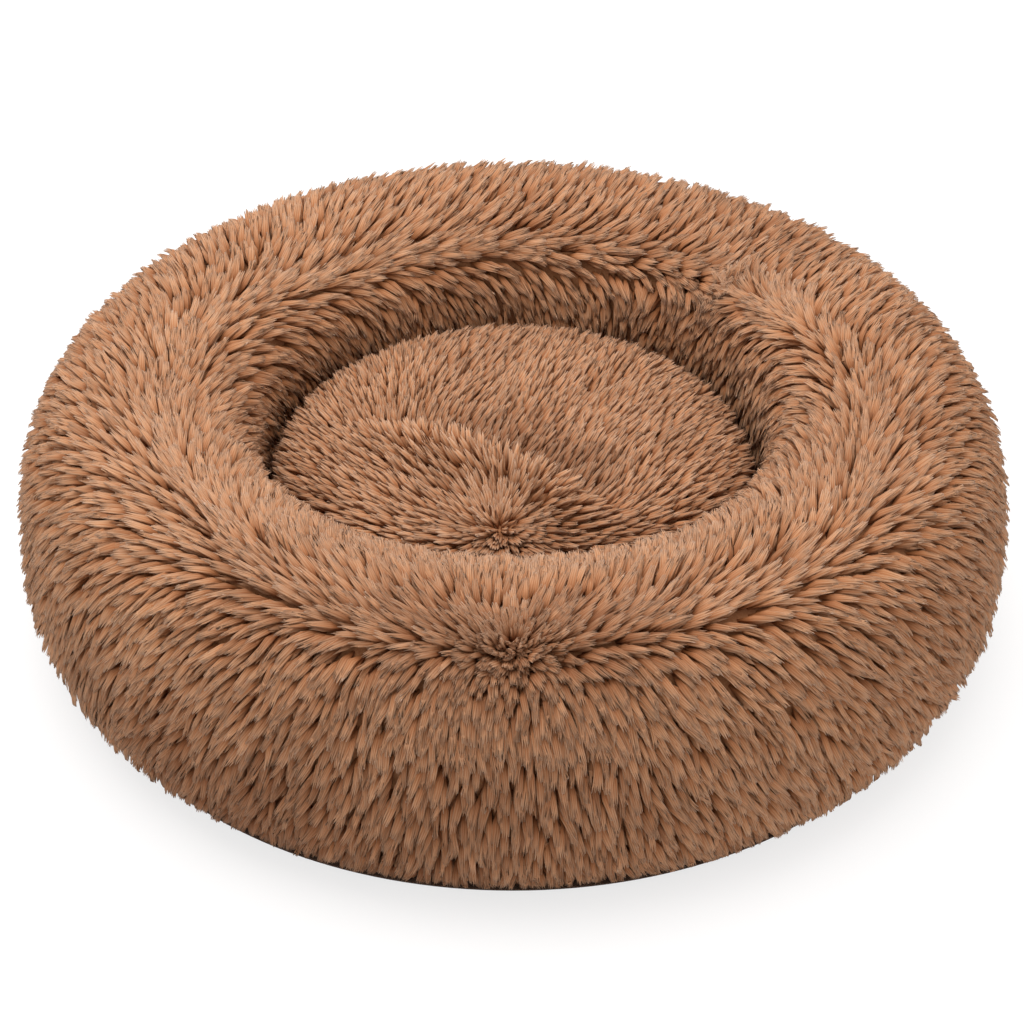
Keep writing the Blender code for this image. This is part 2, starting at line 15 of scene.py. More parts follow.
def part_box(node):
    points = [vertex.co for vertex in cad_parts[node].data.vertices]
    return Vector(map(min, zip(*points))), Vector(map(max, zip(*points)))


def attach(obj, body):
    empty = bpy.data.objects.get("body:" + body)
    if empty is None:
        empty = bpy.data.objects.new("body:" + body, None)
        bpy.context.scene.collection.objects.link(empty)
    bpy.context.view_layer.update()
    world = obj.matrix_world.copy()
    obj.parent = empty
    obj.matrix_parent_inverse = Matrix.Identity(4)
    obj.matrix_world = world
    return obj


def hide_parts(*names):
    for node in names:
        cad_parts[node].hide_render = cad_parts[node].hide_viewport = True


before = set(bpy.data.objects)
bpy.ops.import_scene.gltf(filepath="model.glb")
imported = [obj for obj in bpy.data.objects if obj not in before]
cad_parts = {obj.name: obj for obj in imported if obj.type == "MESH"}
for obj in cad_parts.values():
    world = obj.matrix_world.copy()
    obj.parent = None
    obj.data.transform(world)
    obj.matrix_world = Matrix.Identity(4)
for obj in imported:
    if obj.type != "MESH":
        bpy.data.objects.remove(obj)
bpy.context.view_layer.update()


# The place where the bed stands for its picture: a pale floor that runs on for ever, lit softly from above.
# The camera stands 1.6 m from the bed, 35 degrees above the floor, with a lens that fills the frame with it.
CAMERA_TARGET = Vector((0, 0, 0.07))
CAMERA_REACH = 1.6
CAMERA_ELEVATION = math.radians(35.33)
CAMERA_LENS = 109.9
PICTURE_PIXELS = 1024
TARGET_PIXEL = (513.0, 490.7)
FLOOR_HALF_SIZE = 8.0
FLOOR_COLOUR = "#E2E1DF"
FLOOR_SEEN_COLOUR = "#939190"
FLOOR_GLOW = 0.73
WORLD_LIGHT = 0.92
SOFTBOX_SIZE = 2.0
SOFTBOX_POWER = 31.0
SOFTBOX_PLACE = (-0.22, 0.20, 1.75)


def linear(hex_code):
    """An sRGB hex colour as the linear values that a shader takes."""
    shares = [int(hex_code[i : i + 2], 16) / 255 for i in (1, 3, 5)]
    return [s / 12.92 if s <= 0.04045 else ((s + 0.055) / 1.055) ** 2.4 for s in shares] + [1.0]


def add_node(tree, kind, inputs=None, stops=None, **settings):
    """Adds a shader node with its settings. An input is a value, or the output that is linked to it."""
    made = tree.nodes.new(kind)
    for name, value in settings.items():
        setattr(made, name, value)
    for name, value in (inputs or {}).items():
        if isinstance(value, bpy.types.NodeSocket):
            tree.links.new(value, made.inputs[name])
        else:
            made.inputs[name].default_value = value
    if stops:
        ramp = made.color_ramp.elements
        while len(ramp) < len(stops):
            ramp.new(1.0)
        for element, (place, shade) in zip(ramp, stops):
            element.position = place
            element.color = linear(shade)
    return made


def new_material(name):
    """An empty node material and its output node."""
    made = bpy.data.materials.new(name)
    made.use_nodes = True
    made.node_tree.nodes.clear()
    return made, made.node_tree, made.node_tree.nodes.new("ShaderNodeOutputMaterial")


def select_only(obj):
    """Makes this piece the one that operators work on."""
    bpy.ops.object.select_all(action="DESELECT")
    obj.select_set(True)
    bpy.context.view_layer.objects.active = obj


bpy.ops.object.camera_add(
    location=CAMERA_TARGET
    + CAMERA_REACH * Vector((0, -math.cos(CAMERA_ELEVATION), math.sin(CAMERA_ELEVATION))),
    rotation=(math.pi / 2 - CAMERA_ELEVATION, 0, 0),
)
camera = bpy.context.object
camera.data.lens = CAMERA_LENS
camera.data.shift_x = (PICTURE_PIXELS / 2 - TARGET_PIXEL[0]) / PICTURE_PIXELS
camera.data.shift_y = (TARGET_PIXEL[1] - PICTURE_PIXELS / 2) / PICTURE_PIXELS
bpy.context.scene.camera = camera

bpy.ops.object.light_add(type="AREA", location=SOFTBOX_PLACE)
softbox = bpy.context.object
softbox.rotation_euler = (-Vector(SOFTBOX_PLACE)).to_track_quat("-Z", "Y").to_euler()
softbox.data.size = SOFTBOX_SIZE
softbox.data.energy = SOFTBOX_POWER

world = bpy.data.worlds.new("White studio")
world.use_nodes = True
bpy.context.scene.world = world
sky = world.node_tree
sky.nodes.clear()
rays = add_node(sky, "ShaderNodeLightPath")
straight = rays.outputs["Is Camera Ray"]
for way in ("Is Glossy Ray", "Is Transmission Ray"):
    straight = add_node(sky, "ShaderNodeMath", {0: straight, 1: rays.outputs[way]}, operation="MAXIMUM").outputs[0]
dim = add_node(sky, "ShaderNodeBackground", {"Color": linear("#FFFFFF"), "Strength": WORLD_LIGHT})
white = add_node(sky, "ShaderNodeBackground", {"Color": linear("#FFFFFF"), "Strength": 1.0})
seen = add_node(sky, "ShaderNodeMixShader", {0: straight, 1: dim.outputs[0], 2: white.outputs[0]})
add_node(sky, "ShaderNodeOutputWorld", {"Surface": seen.outputs[0]})
bpy.context.scene.view_settings.view_transform = "Standard"

bpy.ops.mesh.primitive_plane_add(size=2 * FLOOR_HALF_SIZE, location=(0, 0, 0))
floor = bpy.context.object
floor.name = "studio_floor"
floor_paper, tree, out = new_material("White studio paper")
rays = add_node(tree, "ShaderNodeLightPath")
matt = add_node(tree, "ShaderNodeBsdfDiffuse", {"Color": linear(FLOOR_COLOUR)})
faint = add_node(tree, "ShaderNodeBsdfDiffuse", {"Color": linear(FLOOR_SEEN_COLOUR)})
glow = add_node(tree, "ShaderNodeEmission", {"Color": linear("#FFFFFF"), "Strength": FLOOR_GLOW})
both = add_node(tree, "ShaderNodeAddShader", {0: faint.outputs[0], 1: glow.outputs[0]})
on_camera = rays.outputs["Is Camera Ray"]
seen = add_node(tree, "ShaderNodeMixShader", {0: on_camera, 1: matt.outputs[0], 2: both.outputs[0]})
tree.links.new(seen.outputs[0], out.inputs["Surface"])
floor.data.materials.append(floor_paper)


# The ring's stuffed form. A liner full of hollow fibre pushes the cover out to a fat, slightly uneven tube.
# The cover is knitted cloth, sewn from strips, and everything that shows of it is the pile that stands on it.
OUTER_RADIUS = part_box("outer_wall_left")[1].y
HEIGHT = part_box("outer_wall_left")[1].z
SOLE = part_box("outer_wall_left")[0].z
CUSHION_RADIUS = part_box("cushion_top_panel")[1].x
CUSHION_PLAY = 0.0015
WELL_RADIUS = CUSHION_RADIUS + CUSHION_PLAY
CREST_RADIUS = (OUTER_RADIUS + WELL_RADIUS) / 2
WIDEST_HEIGHT = 0.060
NARROWEST_HEIGHT = 0.085
SHOULDER_POWER = 2.6
HIP_POWER = 2.3
HIP_DEPTH_SHARE = 1.12
SECTION_ENDS = (240, -60)
TIGHTEST_BEND = 0.030
PILE_DEPTH = 0.0088
SOLE_GAP = 0.0005
SKIN_VOXEL = 0.005
SKIN_SWELL = 0.0025
STUFFING_PRESSURE = 4.0
STUFFING_FRAMES = 20
SLOT_TURNS = (math.radians(50.5), math.radians(174.5))
SLOT_HEIGHTS = (0.0215, 0.0385)
SLOT_FLOOR_RADIUS = 0.2333
SLOT_EASE = 0.002
# Where the ring is stuffed fuller or thinner: how much farther out it stands, in which direction, and how widely.
FULL_PLACE = (0.0022, math.radians(50), math.radians(34))
THIN_PLACE = (-0.0012, math.radians(228), math.radians(30))


def section_point(angle):
    """A point of the ring's section at an angle, where 0 is outwards and 90 degrees is up, as r and z."""
    across, upward = math.cos(angle), math.sin(angle)
    middle = WIDEST_HEIGHT if across >= 0 else NARROWEST_HEIGHT
    half = (OUTER_RADIUS - WELL_RADIUS) / 2
    tall = HEIGHT - middle if upward >= 0 else middle * HIP_DEPTH_SHARE
    power = SHOULDER_POWER if upward >= 0 else HIP_POWER
    r = CREST_RADIUS + half * math.copysign(abs(across) ** (2 / power), across)
    z = middle + tall * math.copysign(abs(upward) ** (2 / power), upward)
    return r, z


def unit(vectors):
    """The same vectors, made one unit long."""
    return vectors / np.linalg.norm(vectors, axis=1)[:, None]


class Section:
    """The cloth's line under the pile, from the well's foot over the crest to the outer foot, by its length."""

    def __init__(self, depth, count=720):
        line = np.array([section_point(a) for a in np.radians(np.linspace(*SECTION_ENDS, count))])
        line = line[line[:, 1] > SOLE]
        self.run = unit(np.gradient(line, axis=0))
        self.outward = np.stack([-self.run[:, 1], self.run[:, 0]], axis=1)
        self.tips = line
        self.line = line - depth * self.outward
        self.length = np.concatenate([[0], np.cumsum(np.linalg.norm(np.diff(self.line, axis=0), axis=1))])
        slope = np.unwrap(np.arctan2(self.run[:, 1], self.run[:, 0]))
        self.curve = np.clip(-np.gradient(slope, self.length), 0, 1 / TIGHTEST_BEND)

    def at(self, length):
        """Points, outward normals and run directions in r and z at these lengths along the line."""
        tables = (self.line, self.outward, self.run)
        return [np.stack([np.interp(length, self.length, t[:, i]) for i in (0, 1)], axis=-1) for t in tables]

    def length_at_radius(self, radius):
        """The length where the pile over the upper side of the section has a radius."""
        top = self.tips[:, 1] > NARROWEST_HEIGHT
        return np.interp(radius, self.tips[top, 0], self.length[top])


def bell(offset, width):
    """A smooth hump: 1 in its middle, and nothing a few widths away from it."""
    return np.exp(-((offset / width) ** 2))


def swell_share(turn):
    """How much farther out the ring stands at a turn, in metres: it is stuffed a little unevenly."""
    back_right = FULL_PLACE[0] * bell(turn - FULL_PLACE[1], FULL_PLACE[2])
    front_left = THIN_PLACE[0] * bell(turn % (2 * math.pi) - THIN_PLACE[1], THIN_PLACE[2])
    return back_right + front_left


def in_slot(turn, height, margin):
    """Whether points lie in the zip's slot, or within a margin above or below it."""
    return (
        (turn > SLOT_TURNS[0])
        & (turn < SLOT_TURNS[1])
        & (height > SLOT_HEIGHTS[0] - margin)
        & (height < SLOT_HEIGHTS[1] + margin)
    )


def stuff(obj, swell):
    """Blows a closed form up a little as its stuffing does, with cloth under pressure, and keeps it near."""
    select_only(obj)
    obj.data.remesh_voxel_size = SKIN_VOXEL
    bpy.ops.object.voxel_remesh()
    start = np.empty(len(obj.data.vertices) * 3)
    obj.data.vertices.foreach_get("co", start)
    cloth = obj.modifiers.new("Stuffing", "CLOTH")
    cloth.settings.use_pressure = True
    cloth.settings.uniform_pressure_force = STUFFING_PRESSURE
    cloth.settings.effector_weights.gravity = 0
    cloth.settings.quality = 4
    cloth.point_cache.frame_end = STUFFING_FRAMES
    for number in range(1, STUFFING_FRAMES + 1):
        bpy.context.scene.frame_set(number)
    moved = obj.evaluated_get(bpy.context.evaluated_depsgraph_get())
    end = np.empty_like(start)
    moved.data.vertices.foreach_get("co", end)
    obj.modifiers.clear()
    bpy.context.scene.frame_set(1)
    shift = (end - start).reshape(-1, 3)
    far = np.linalg.norm(shift, axis=1)[:, None]
    shift *= np.minimum(1, swell / np.maximum(far, 1e-9))
    obj.data.vertices.foreach_set("co", (start.reshape(-1, 3) + shift).ravel())
    obj.data.update()


section = Section(PILE_DEPTH)
bpy.ops.mesh.primitive_torus_add(
    major_segments=160, minor_segments=64, major_radius=CREST_RADIUS, minor_radius=(OUTER_RADIUS - WELL_RADIUS) / 2
)
ring_cover = bpy.context.object
ring_cover.name = "ring_cover"
for vertex in ring_cover.data.vertices:
    x, y, z = vertex.co
    turn = math.atan2(y, x)
    angle = math.atan2(z, math.hypot(x, y) - CREST_RADIUS)
    r, height = section_point(angle)
    next_r, next_height = section_point(angle + 0.01)
    run = Vector((next_r - r, next_height - height)).normalized()
    r -= run.y * PILE_DEPTH
    r += swell_share(turn) * max(0, math.cos(angle))
    height = max(height + run.x * PILE_DEPTH, SOLE + SOLE_GAP)
    vertex.co = (r * math.cos(turn), r * math.sin(turn), height)
stuff(ring_cover, SKIN_SWELL)
for vertex in ring_cover.data.vertices:
    x, y, z = vertex.co
    r, turn = math.hypot(x, y), math.atan2(y, x)
    if in_slot(turn, z, SLOT_EASE) and r > SLOT_FLOOR_RADIUS:
        vertex.co = (x * SLOT_FLOOR_RADIUS / r, y * SLOT_FLOOR_RADIUS / r, z)
select_only(ring_cover)
bpy.ops.object.shade_smooth()


def coat(tree, out, inputs):
    """Gives a material one principled surface."""
    surface = add_node(tree, "ShaderNodeBsdfPrincipled", inputs)
    tree.links.new(surface.outputs[0], out.inputs["Surface"])


# Warp-knitted polyester: brown and matt, with a fine grain 0.9 mm across that shows only where the pile is parted.
KNIT_GRAIN = 0.0009
knit, tree, out = new_material("Warp-knitted polyester backing")
spot = add_node(tree, "ShaderNodeTexCoord").outputs["Object"]
grain = add_node(tree, "ShaderNodeTexNoise", {"Vector": spot, "Scale": 1 / KNIT_GRAIN, "Detail": 2.0})
colour = add_node(tree, "ShaderNodeValToRGB", {"Fac": grain.outputs[0]}, stops=[(0.3, "#965E38"), (0.7, "#A8734C")])
coat(tree, out, {"Base Color": colour.outputs[0], "Roughness": 0.95})
ring_cover.data.materials.append(knit)
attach(ring_cover, "ring")
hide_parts("outer_wall_left", "outer_wall_right", "inner_wall_left", "inner_wall_right")


# The ring's pile: brushes of crimped polyester fibre, 20 mm long, that lie over each other like feathers.
# They are combed away from a whorl over the front, along both sides of a parting, and meet at the right of the back.
LOCK_PITCH = 0.0045
ROW_PITCH = 0.0058
LOCK_LENGTH = 0.0208
LOCK_HALF_WIDTH = 0.0020
RIBS = 4
STATIONS = np.array([0.0, 0.42, 0.84])
WIDTH_SHARES = ([0, 0.42, 0.84], [0.30, 1.0, 0.80])
HEIGHT_SHARES = ([0, 0.4, 0.75], [0.5, 1.0, 1.15])
ARC_STEPS = 32
RIB_HEIGHT = 0.0006
LOCK_ARCH_SHARE = 0.44
LOCK_UNDERSIDE = 0.0005
LOCK_SWAY = 0.0011
# Painted light and shade in each lock's colour: darker grooves, paler outer edges, and a middling, shaded underside.
GROOVE_PAINTED_SHADE = 0.40
EDGE_PAINTED_HIGHLIGHT = 0.86
UNDERSIDE_PAINTED_SHADE = 0.55
CLEFT_SHARE = 0.085
TIP_REACH = 1.01
TIP_ROUNDING = 0.14
TIP_SPREAD = 0.72
TIP_STRAY = 0.00025
TIP_HEIGHT = 0.95
ROOT_RISE = 50.0
TIP_RISE = 5.0
WALL_RISE = 3.0
LOOSE_RISE = 26.0
UNDER_RIBS = 2
UNDER_STATIONS = np.array([0.0, 0.70])
UNDER_LENGTH_SHARE = 0.80
UNDER_RISE_SHARE = 0.62
UNDER_REACH = 0.85
MOST_TRIANGLES = 195000
TONE_SCATTER = 0.13
TONE_LIMITS = (0.02, 0.98)
# How many locks the fringe along the outer foot has, and the extra ones where the pile parts or is seen edge on.
FRINGE_LOCKS = 380
WHORL_LOCKS = 130
BIB_LOCKS = 380
RIDGE_LOCKS = 150
SEAM_LOCKS = 540
RIM_LOCKS = 1000
LIP_LOCKS = 360
WHORL_RADIUS = 0.2120
HIDDEN_HEIGHT = 0.055
HIDDEN_SHARE = 0.62
FLOOR_MARGIN = 0.0012
FOOT_RADIUS = 0.2240
ZIP_CLEARANCE = 0.0025
SHORTEST_LOCK = 0.0055
LIP_DROP = 0.0008
LIP_RISE = 30.0
LIP_SHADE = 0.25
WELL_CLEARANCE = 0.1246
FRONT_CALM = 7.0
BACK_CALM = 8.0
MEETING = 131.0
# Each row holds a direction in degrees from the front, the parting's radius, and how far the pile turns away from
# the parting and in what distance: first outside it, then inside it. Distances are in millimetres.
COMBING = np.array(
    [
        (0, 213.9, 90, 4, 95, 9),
        (15, 211.8, 68, 6, 100, 30),
        (30, 208.4, 62, 7, 105, 36),
        (45, 205.6, 66, 16, 64, 26),
        (60, 192.0, 66, 28, 50, 14),
        (75, 180.5, 92, 38, 82, 22),
        (90, 171.5, 68, 22, 110, 20),
        (105, 161.5, 64, 7, 115, 8),
        (120, 150.5, 78, 3.5, 90, 3),
        (131, 144.0, 92, 5, 95, 4),
        (137, 143.4, 94, 6, 98, 4),
        (150, 143.0, 92, 10, 105, 8),
        (165, 144.5, 74, 12, 75, 20),
        (180, 143.5, 62, 10, 80, 12),
        (195, 142.4, 44, 15, 76, 10),
        (210, 141.9, 54, 28, 72, 5),
        (225, 145.0, 80, 36, 72, 6),
        (240, 157.5, 68, 22, 80, 22),
        (255, 166.5, 58, 16, 75, 28),
        (270, 170.0, 56, 28, 60, 30),
        (285, 174.5, 90, 50, 46, 12),
        (300, 178.0, 100, 50, 52, 18),
        (315, 184.5, 72, 24, 66, 18),
        (330, 203.5, 68, 8, 76, 27),
        (345, 212.0, 78, 5, 72, 24),
        (360, 213.9, 90, 4, 95, 9),
    ],
    dtype=float,
)


def wander(points, seed, size):
    """Slow, smooth unevenness between about -1 and 1, from a few waves of about this length in metres."""
    waves = np.random.default_rng(seed)
    total = np.zeros(len(points))
    count = 5
    for _ in range(count):
        way = waves.normal(size=3)
        way *= 2 * math.pi / (size * waves.uniform(0.7, 1.5) * np.linalg.norm(way))
        total += np.sin(points @ way + waves.uniform(0, 2 * math.pi))
    return 2 * total / count


def lock_faces(ribs, stations):
    """The faces of one lock, closed at its root and split into a point for each rib.

    Also says which of them are rounded off into their neighbours, and how far along the lock each corner's colour
    lies, which paints light and shade into the lock: far back in the grooves as painted shade, so that the ribs'
    crests show paler as a painted highlight, less far back at the outer edges as a painted highlight there, and at one
    place all over the underside as painted shade in the crevices between locks.
    """
    around = 2 * ribs + 2
    last = around * (len(stations) - 1)
    upper, lower = [], []
    for i in range(len(stations) - 1):
        for k in range(around):
            a, b = around * i + k, around * i + (k + 1) % around
            (upper if k < 2 * ribs else lower).append([a, b, b + around, a + around])
    for j in range(ribs):
        left, rib, right, tip = last + 2 * j, last + 2 * j + 1, last + 2 * j + 2, last + around + j
        upper += [[left, rib, tip], [rib, right, tip]]
        lower.append([right, left, tip])
    lower.append([last + k for k in (*range(0, 2 * ribs + 1, 2), 2 * ribs + 1)])
    lower.append(list(range(around))[::-1])
    shade = np.full(around, GROOVE_PAINTED_SHADE)
    shade[1 : 2 * ribs : 2] = 1
    shade[[0, 2 * ribs]] = EDGE_PAINTED_HIGHLIGHT
    along = np.concatenate([(stations[:, None] * shade).ravel(), np.ones(ribs)])
    along = [along[f] for f in upper] + [np.full(len(f), UNDERSIDE_PAINTED_SHADE) for f in lower]
    return upper + lower, np.arange(len(along)) < len(upper), np.concatenate(along)


def copied_mesh(name, points, corners, sizes):
    """A mesh of like bodies. Each row of points is one body, and all have faces of these sizes at these corners."""
    count, each = points.shape[:2]
    loops = (corners[None] + each * np.arange(count)[:, None]).ravel()
    starts = np.concatenate([[0], np.cumsum(np.tile(sizes, count))[:-1]])
    mesh = bpy.data.meshes.new(name)
    mesh.vertices.add(count * each)
    mesh.vertices.foreach_set("co", points.astype(np.float32).ravel())
    mesh.loops.add(len(loops))
    mesh.loops.foreach_set("vertex_index", loops.astype(np.int32))
    mesh.polygons.add(len(starts))
    mesh.polygons.foreach_set("loop_start", starts.astype(np.int32))
    return mesh


def new_piece(name, data):
    """A piece of the scene that shows this mesh or curve."""
    piece = bpy.data.objects.new(name, data)
    bpy.context.scene.collection.objects.link(piece)
    return piece


def pile_mesh(name, points, tones_and_painted_light, paleness, faces, rounded, along):
    """One mesh of many locks. Across, its map holds each lock's tone with its painted light and shade; along, the way
    from root to tip.

    On locks with pale roots that way begins later.
    """
    mesh = copied_mesh(name, points, np.concatenate(faces), [len(f) for f in faces])
    mesh.polygons.foreach_set("use_smooth", np.tile(rounded, len(points)))
    mesh.update(calc_edges=True)
    sides = np.concatenate([np.cos(2 * math.pi * (np.arange(len(f)) + 0.5) / len(f)) for f in faces])
    across = 0.015 + 0.97 * tones_and_painted_light[:, None] + 0.008 * sides[None]
    along = paleness[:, None] + (1 - paleness[:, None]) * along
    uv = np.stack([across, 0.01 + 0.98 * along], axis=-1)
    mesh.uv_layers.new(name="OFBake").data.foreach_set("uv", uv.astype(np.float32).ravel())
    return mesh


def lay_locks(draw, place, normal, flow, length, rise, bend, half_width, ribs, stations):
    """The points of locks that root at these places: rings along each ribbed body, then the ends of its ribs."""
    count, aside, half_width = len(place), np.cross(normal, flow), half_width[:, None]
    fine = np.linspace(0, 1, ARC_STEPS + 1)
    start = np.radians(rise)[:, None]
    end = np.radians(TIP_RISE * (rise / ROOT_RISE) ** 5 + draw.uniform(-4, 6, count))[:, None]
    angle = end + (start - end) * (1 - fine) ** 1.5
    reach, lift = [
        np.concatenate([np.zeros((count, 1)), np.cumsum(part(angle[:, :-1]) / ARC_STEPS, axis=1)], axis=1)
        for part in (np.cos, np.sin)
    ]
    pick = np.round(stations * ARC_STEPS).astype(int)
    far = reach[:, pick] * length[:, None]
    high = lift[:, pick] * length[:, None] - 0.5 * bend[:, None] * far**2
    sway = draw.normal(size=(count, 1)) * LOCK_SWAY * np.sin(stations * math.pi * 0.8)
    path = place[:, None] + far[..., None] * flow[:, None] + high[..., None] * normal[:, None]
    path = path + sway[..., None] * aside[:, None]
    angle = angle[:, pick] - bend[:, None] * far
    ahead = np.cos(angle)[..., None] * flow[:, None] + np.sin(angle)[..., None] * normal[:, None]
    above = np.cross(ahead, np.broadcast_to(aside[:, None], ahead.shape))
    share = np.linspace(1, -1, 2 * ribs + 1)
    on_rib = np.arange(2 * ribs + 1) % 2
    uneven = draw.uniform(-1, 1, (2, count, 2 * ribs + 1))
    over = half_width * (share + 0.07 * uneven[0])
    up = half_width * LOCK_ARCH_SHARE * (1 - share**2) + on_rib * RIB_HEIGHT * (1 + 0.45 * uneven[1])
    over = np.concatenate([over, np.zeros((count, 1))], axis=1)
    up = np.concatenate([up, np.full((count, 1), -LOCK_UNDERSIDE)], axis=1)
    widths = np.interp(stations, *WIDTH_SHARES)[None, :, None] * draw.uniform(0.70, 1.22, (count, 1, 1))
    heights = np.interp(stations, *HEIGHT_SHARES)[None, :, None]
    rings = path[:, :, None] + (widths * over[:, None])[..., None] * aside[:, None, None]
    rings = rings + (heights * up[:, None])[..., None] * above[:, :, None]
    split = np.append(CLEFT_SHARE * (2 * on_rib - 1), -CLEFT_SHARE)
    split = split + draw.uniform(-0.04, 0.04, (count, 2 * ribs + 2))
    rings[:, -1] += (split * length[:, None])[..., None] * ahead[:, -1:]
    rib = share[1::2]
    past = TIP_REACH - TIP_ROUNDING * rib**2 + draw.uniform(-0.10, 0.06, (count, ribs)) - stations[-1]
    past = past * length[:, None]
    stray = draw.normal(size=(2, count, ribs)) * TIP_STRAY
    ends = path[:, -1:] + past[..., None] * ahead[:, -1:]
    ends = ends + (half_width * TIP_SPREAD * rib + stray[0])[..., None] * aside[:, None]
    ends = ends + (TIP_HEIGHT * up[:, 1 : 2 * ribs : 2] + stray[1])[..., None] * above[:, -1:]
    return np.concatenate([rings.reshape(count, -1, 3), ends], axis=1)


def add_pile(name, points, tones_and_painted_light, paleness, ribs, stations, reach, cloth, body):
    """Cuts locks into pieces that stay under the size of one export file, and puts them on their body."""
    faces, rounded, along = lock_faces(ribs, stations)
    triangles = len(points) * sum(len(f) - 2 for f in faces)
    shares = np.array_split(np.arange(len(points)), math.ceil(triangles / MOST_TRIANGLES))
    for number, some in enumerate(shares):
        part = f"{name}_{number + 1}"
        mesh = pile_mesh(part, points[some], tones_and_painted_light[some], paleness[some], faces, rounded, along * reach)
        piece = new_piece(mesh.name, mesh)
        mesh.materials.append(cloth)
        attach(piece, body)


def two_layers(name, length, rise, half_widths, ribs, pitch):
    """The pile, and the thinner and lower underfur between its locks, as what lay_locks and add_pile ask for."""
    under = (length * UNDER_LENGTH_SHARE, rise * UNDER_RISE_SHARE, np.full(len(length), pitch / 2))
    return [
        (f"{name}_pile", length, rise, half_widths, ribs, STATIONS, 1.0),
        (f"{name}_underfur", *under, UNDER_RIBS, UNDER_STATIONS, UNDER_REACH),
    ]


def wrapped(turns):
    """The same turns, between minus and plus half a circle."""
    return (turns + math.pi) % (2 * math.pi) - math.pi


def combing(turns, column):
    """One column of the combing, at these turns."""
    return np.interp((np.degrees(turns) + 90) % 360, COMBING[:, 0], COMBING[:, column])


def parting(turns):
    """The length along the section where the parting runs, at these turns."""
    return section.length_at_radius(combing(turns, 1) / 1000)


def combed(turns, lengths):
    """The pile's lie on the ring: its share round the ring, its share down the section, and how firmly it lies."""
    from_front = (np.degrees(turns) + 90) % 360
    out_turn, out_reach, in_turn, in_reach = [combing(turns, column) for column in range(2, 6)]
    offset = lengths - parting(turns)
    outside = offset > 0
    most, reach = np.where(outside, out_turn, in_turn), np.where(outside, out_reach, in_reach)
    lean = np.radians(most * (1 - np.exp(-np.abs(offset) * 1000 / reach)))
    away_front = np.minimum(from_front, 360 - from_front)
    calm = np.minimum(1, away_front / FRONT_CALM) * np.minimum(1, np.abs(from_front - MEETING) / BACK_CALM)
    round_share = np.where(from_front < MEETING, 1, -1) * calm * np.cos(lean)
    down_share = np.where(outside, 1, -1) * np.sin(lean)
    return round_share, down_share, np.hypot(round_share, down_share)


def degrees_past(turns, from_front):
    """How far turns lie past a direction, in degrees, between minus and plus half a circle."""
    return (np.degrees(turns) + 90 - from_front + 180) % 360 - 180


def below(values, top, depth):
    """How far values lie below a top: 0 at it, and 1 from this depth on."""
    return np.clip((top - values) / depth, 0, 1)


def towards(turns):
    """Level unit vectors that point these ways."""
    return np.stack([np.cos(turns), np.sin(turns), np.zeros_like(turns)], axis=1)


def on_cloth(flow, normal):
    """A flow without that part of it which rises from the cloth."""
    return flow - normal * np.sum(flow * normal, axis=1)[:, None]


draw = np.random.default_rng(11)
turns, lengths = [], []
for number, row in enumerate(np.arange(0.003, section.length[-1] - 0.001, ROW_PITCH)):
    radius = section.at(row)[0][0]
    many = int(2 * math.pi * radius / LOCK_PITCH)
    turns.append((np.arange(many) + 0.5 * (number % 2)) / many * 2 * math.pi)
    lengths.append(np.full(many, row))
turns.append(np.arange(FRINGE_LOCKS) / FRINGE_LOCKS * 2 * math.pi)
lengths.append(np.full(FRINGE_LOCKS, section.length[-1] - 0.0035))
turns, lengths = np.concatenate(turns), np.concatenate(lengths)
turns = turns + draw.uniform(-0.3, 0.3, len(turns)) * LOCK_PITCH / CREST_RADIUS
lengths = np.clip(lengths + draw.uniform(-0.3, 0.3, len(lengths)) * ROW_PITCH, 0, section.length[-1])

# The extra locks: on the whorl, on the bib below it, where the naps meet, along the parting, over the front of the
# rim, and on the lip below the zip.
front = math.radians(-90)
whorl_length = section.length_at_radius(WHORL_RADIUS)
on_outer_side = section.line[:, 0] > CREST_RADIUS
outer_side = (-section.line[on_outer_side, 1], section.length[on_outer_side])
lip_length = np.interp(LIP_DROP - SLOT_HEIGHTS[0], *outer_side)
turns, lengths = [turns], [lengths]
turns.append(front + draw.normal(size=WHORL_LOCKS) * math.radians(3.2))
lengths.append(whorl_length + draw.normal(size=WHORL_LOCKS) * 0.008)
turns.append(front + draw.normal(size=BIB_LOCKS) * math.radians(11))
lengths.append(whorl_length + draw.uniform(-0.012, 0.040, BIB_LOCKS))
turns.append(np.radians(draw.uniform(108, 146, RIDGE_LOCKS) - 90))
lengths.append(parting(turns[-1]) + draw.normal(size=RIDGE_LOCKS) * 0.003)
turns.append(draw.uniform(0, 2 * math.pi, SEAM_LOCKS))
lengths.append(parting(turns[-1]) + draw.normal(size=SEAM_LOCKS) * 0.002)
turns.append(front + draw.normal(size=RIM_LOCKS) * math.radians(38))
lengths.append(section.length_at_radius(draw.uniform(0.131, 0.182, RIM_LOCKS)))
turns.append(draw.uniform(*SLOT_TURNS, LIP_LOCKS))
lengths.append(lip_length + draw.uniform(0, 0.004, LIP_LOCKS))
turns, lengths = np.concatenate(turns), np.concatenate(lengths)
order = np.argsort(turns % (2 * math.pi))
turns, lengths = turns[order], lengths[order]

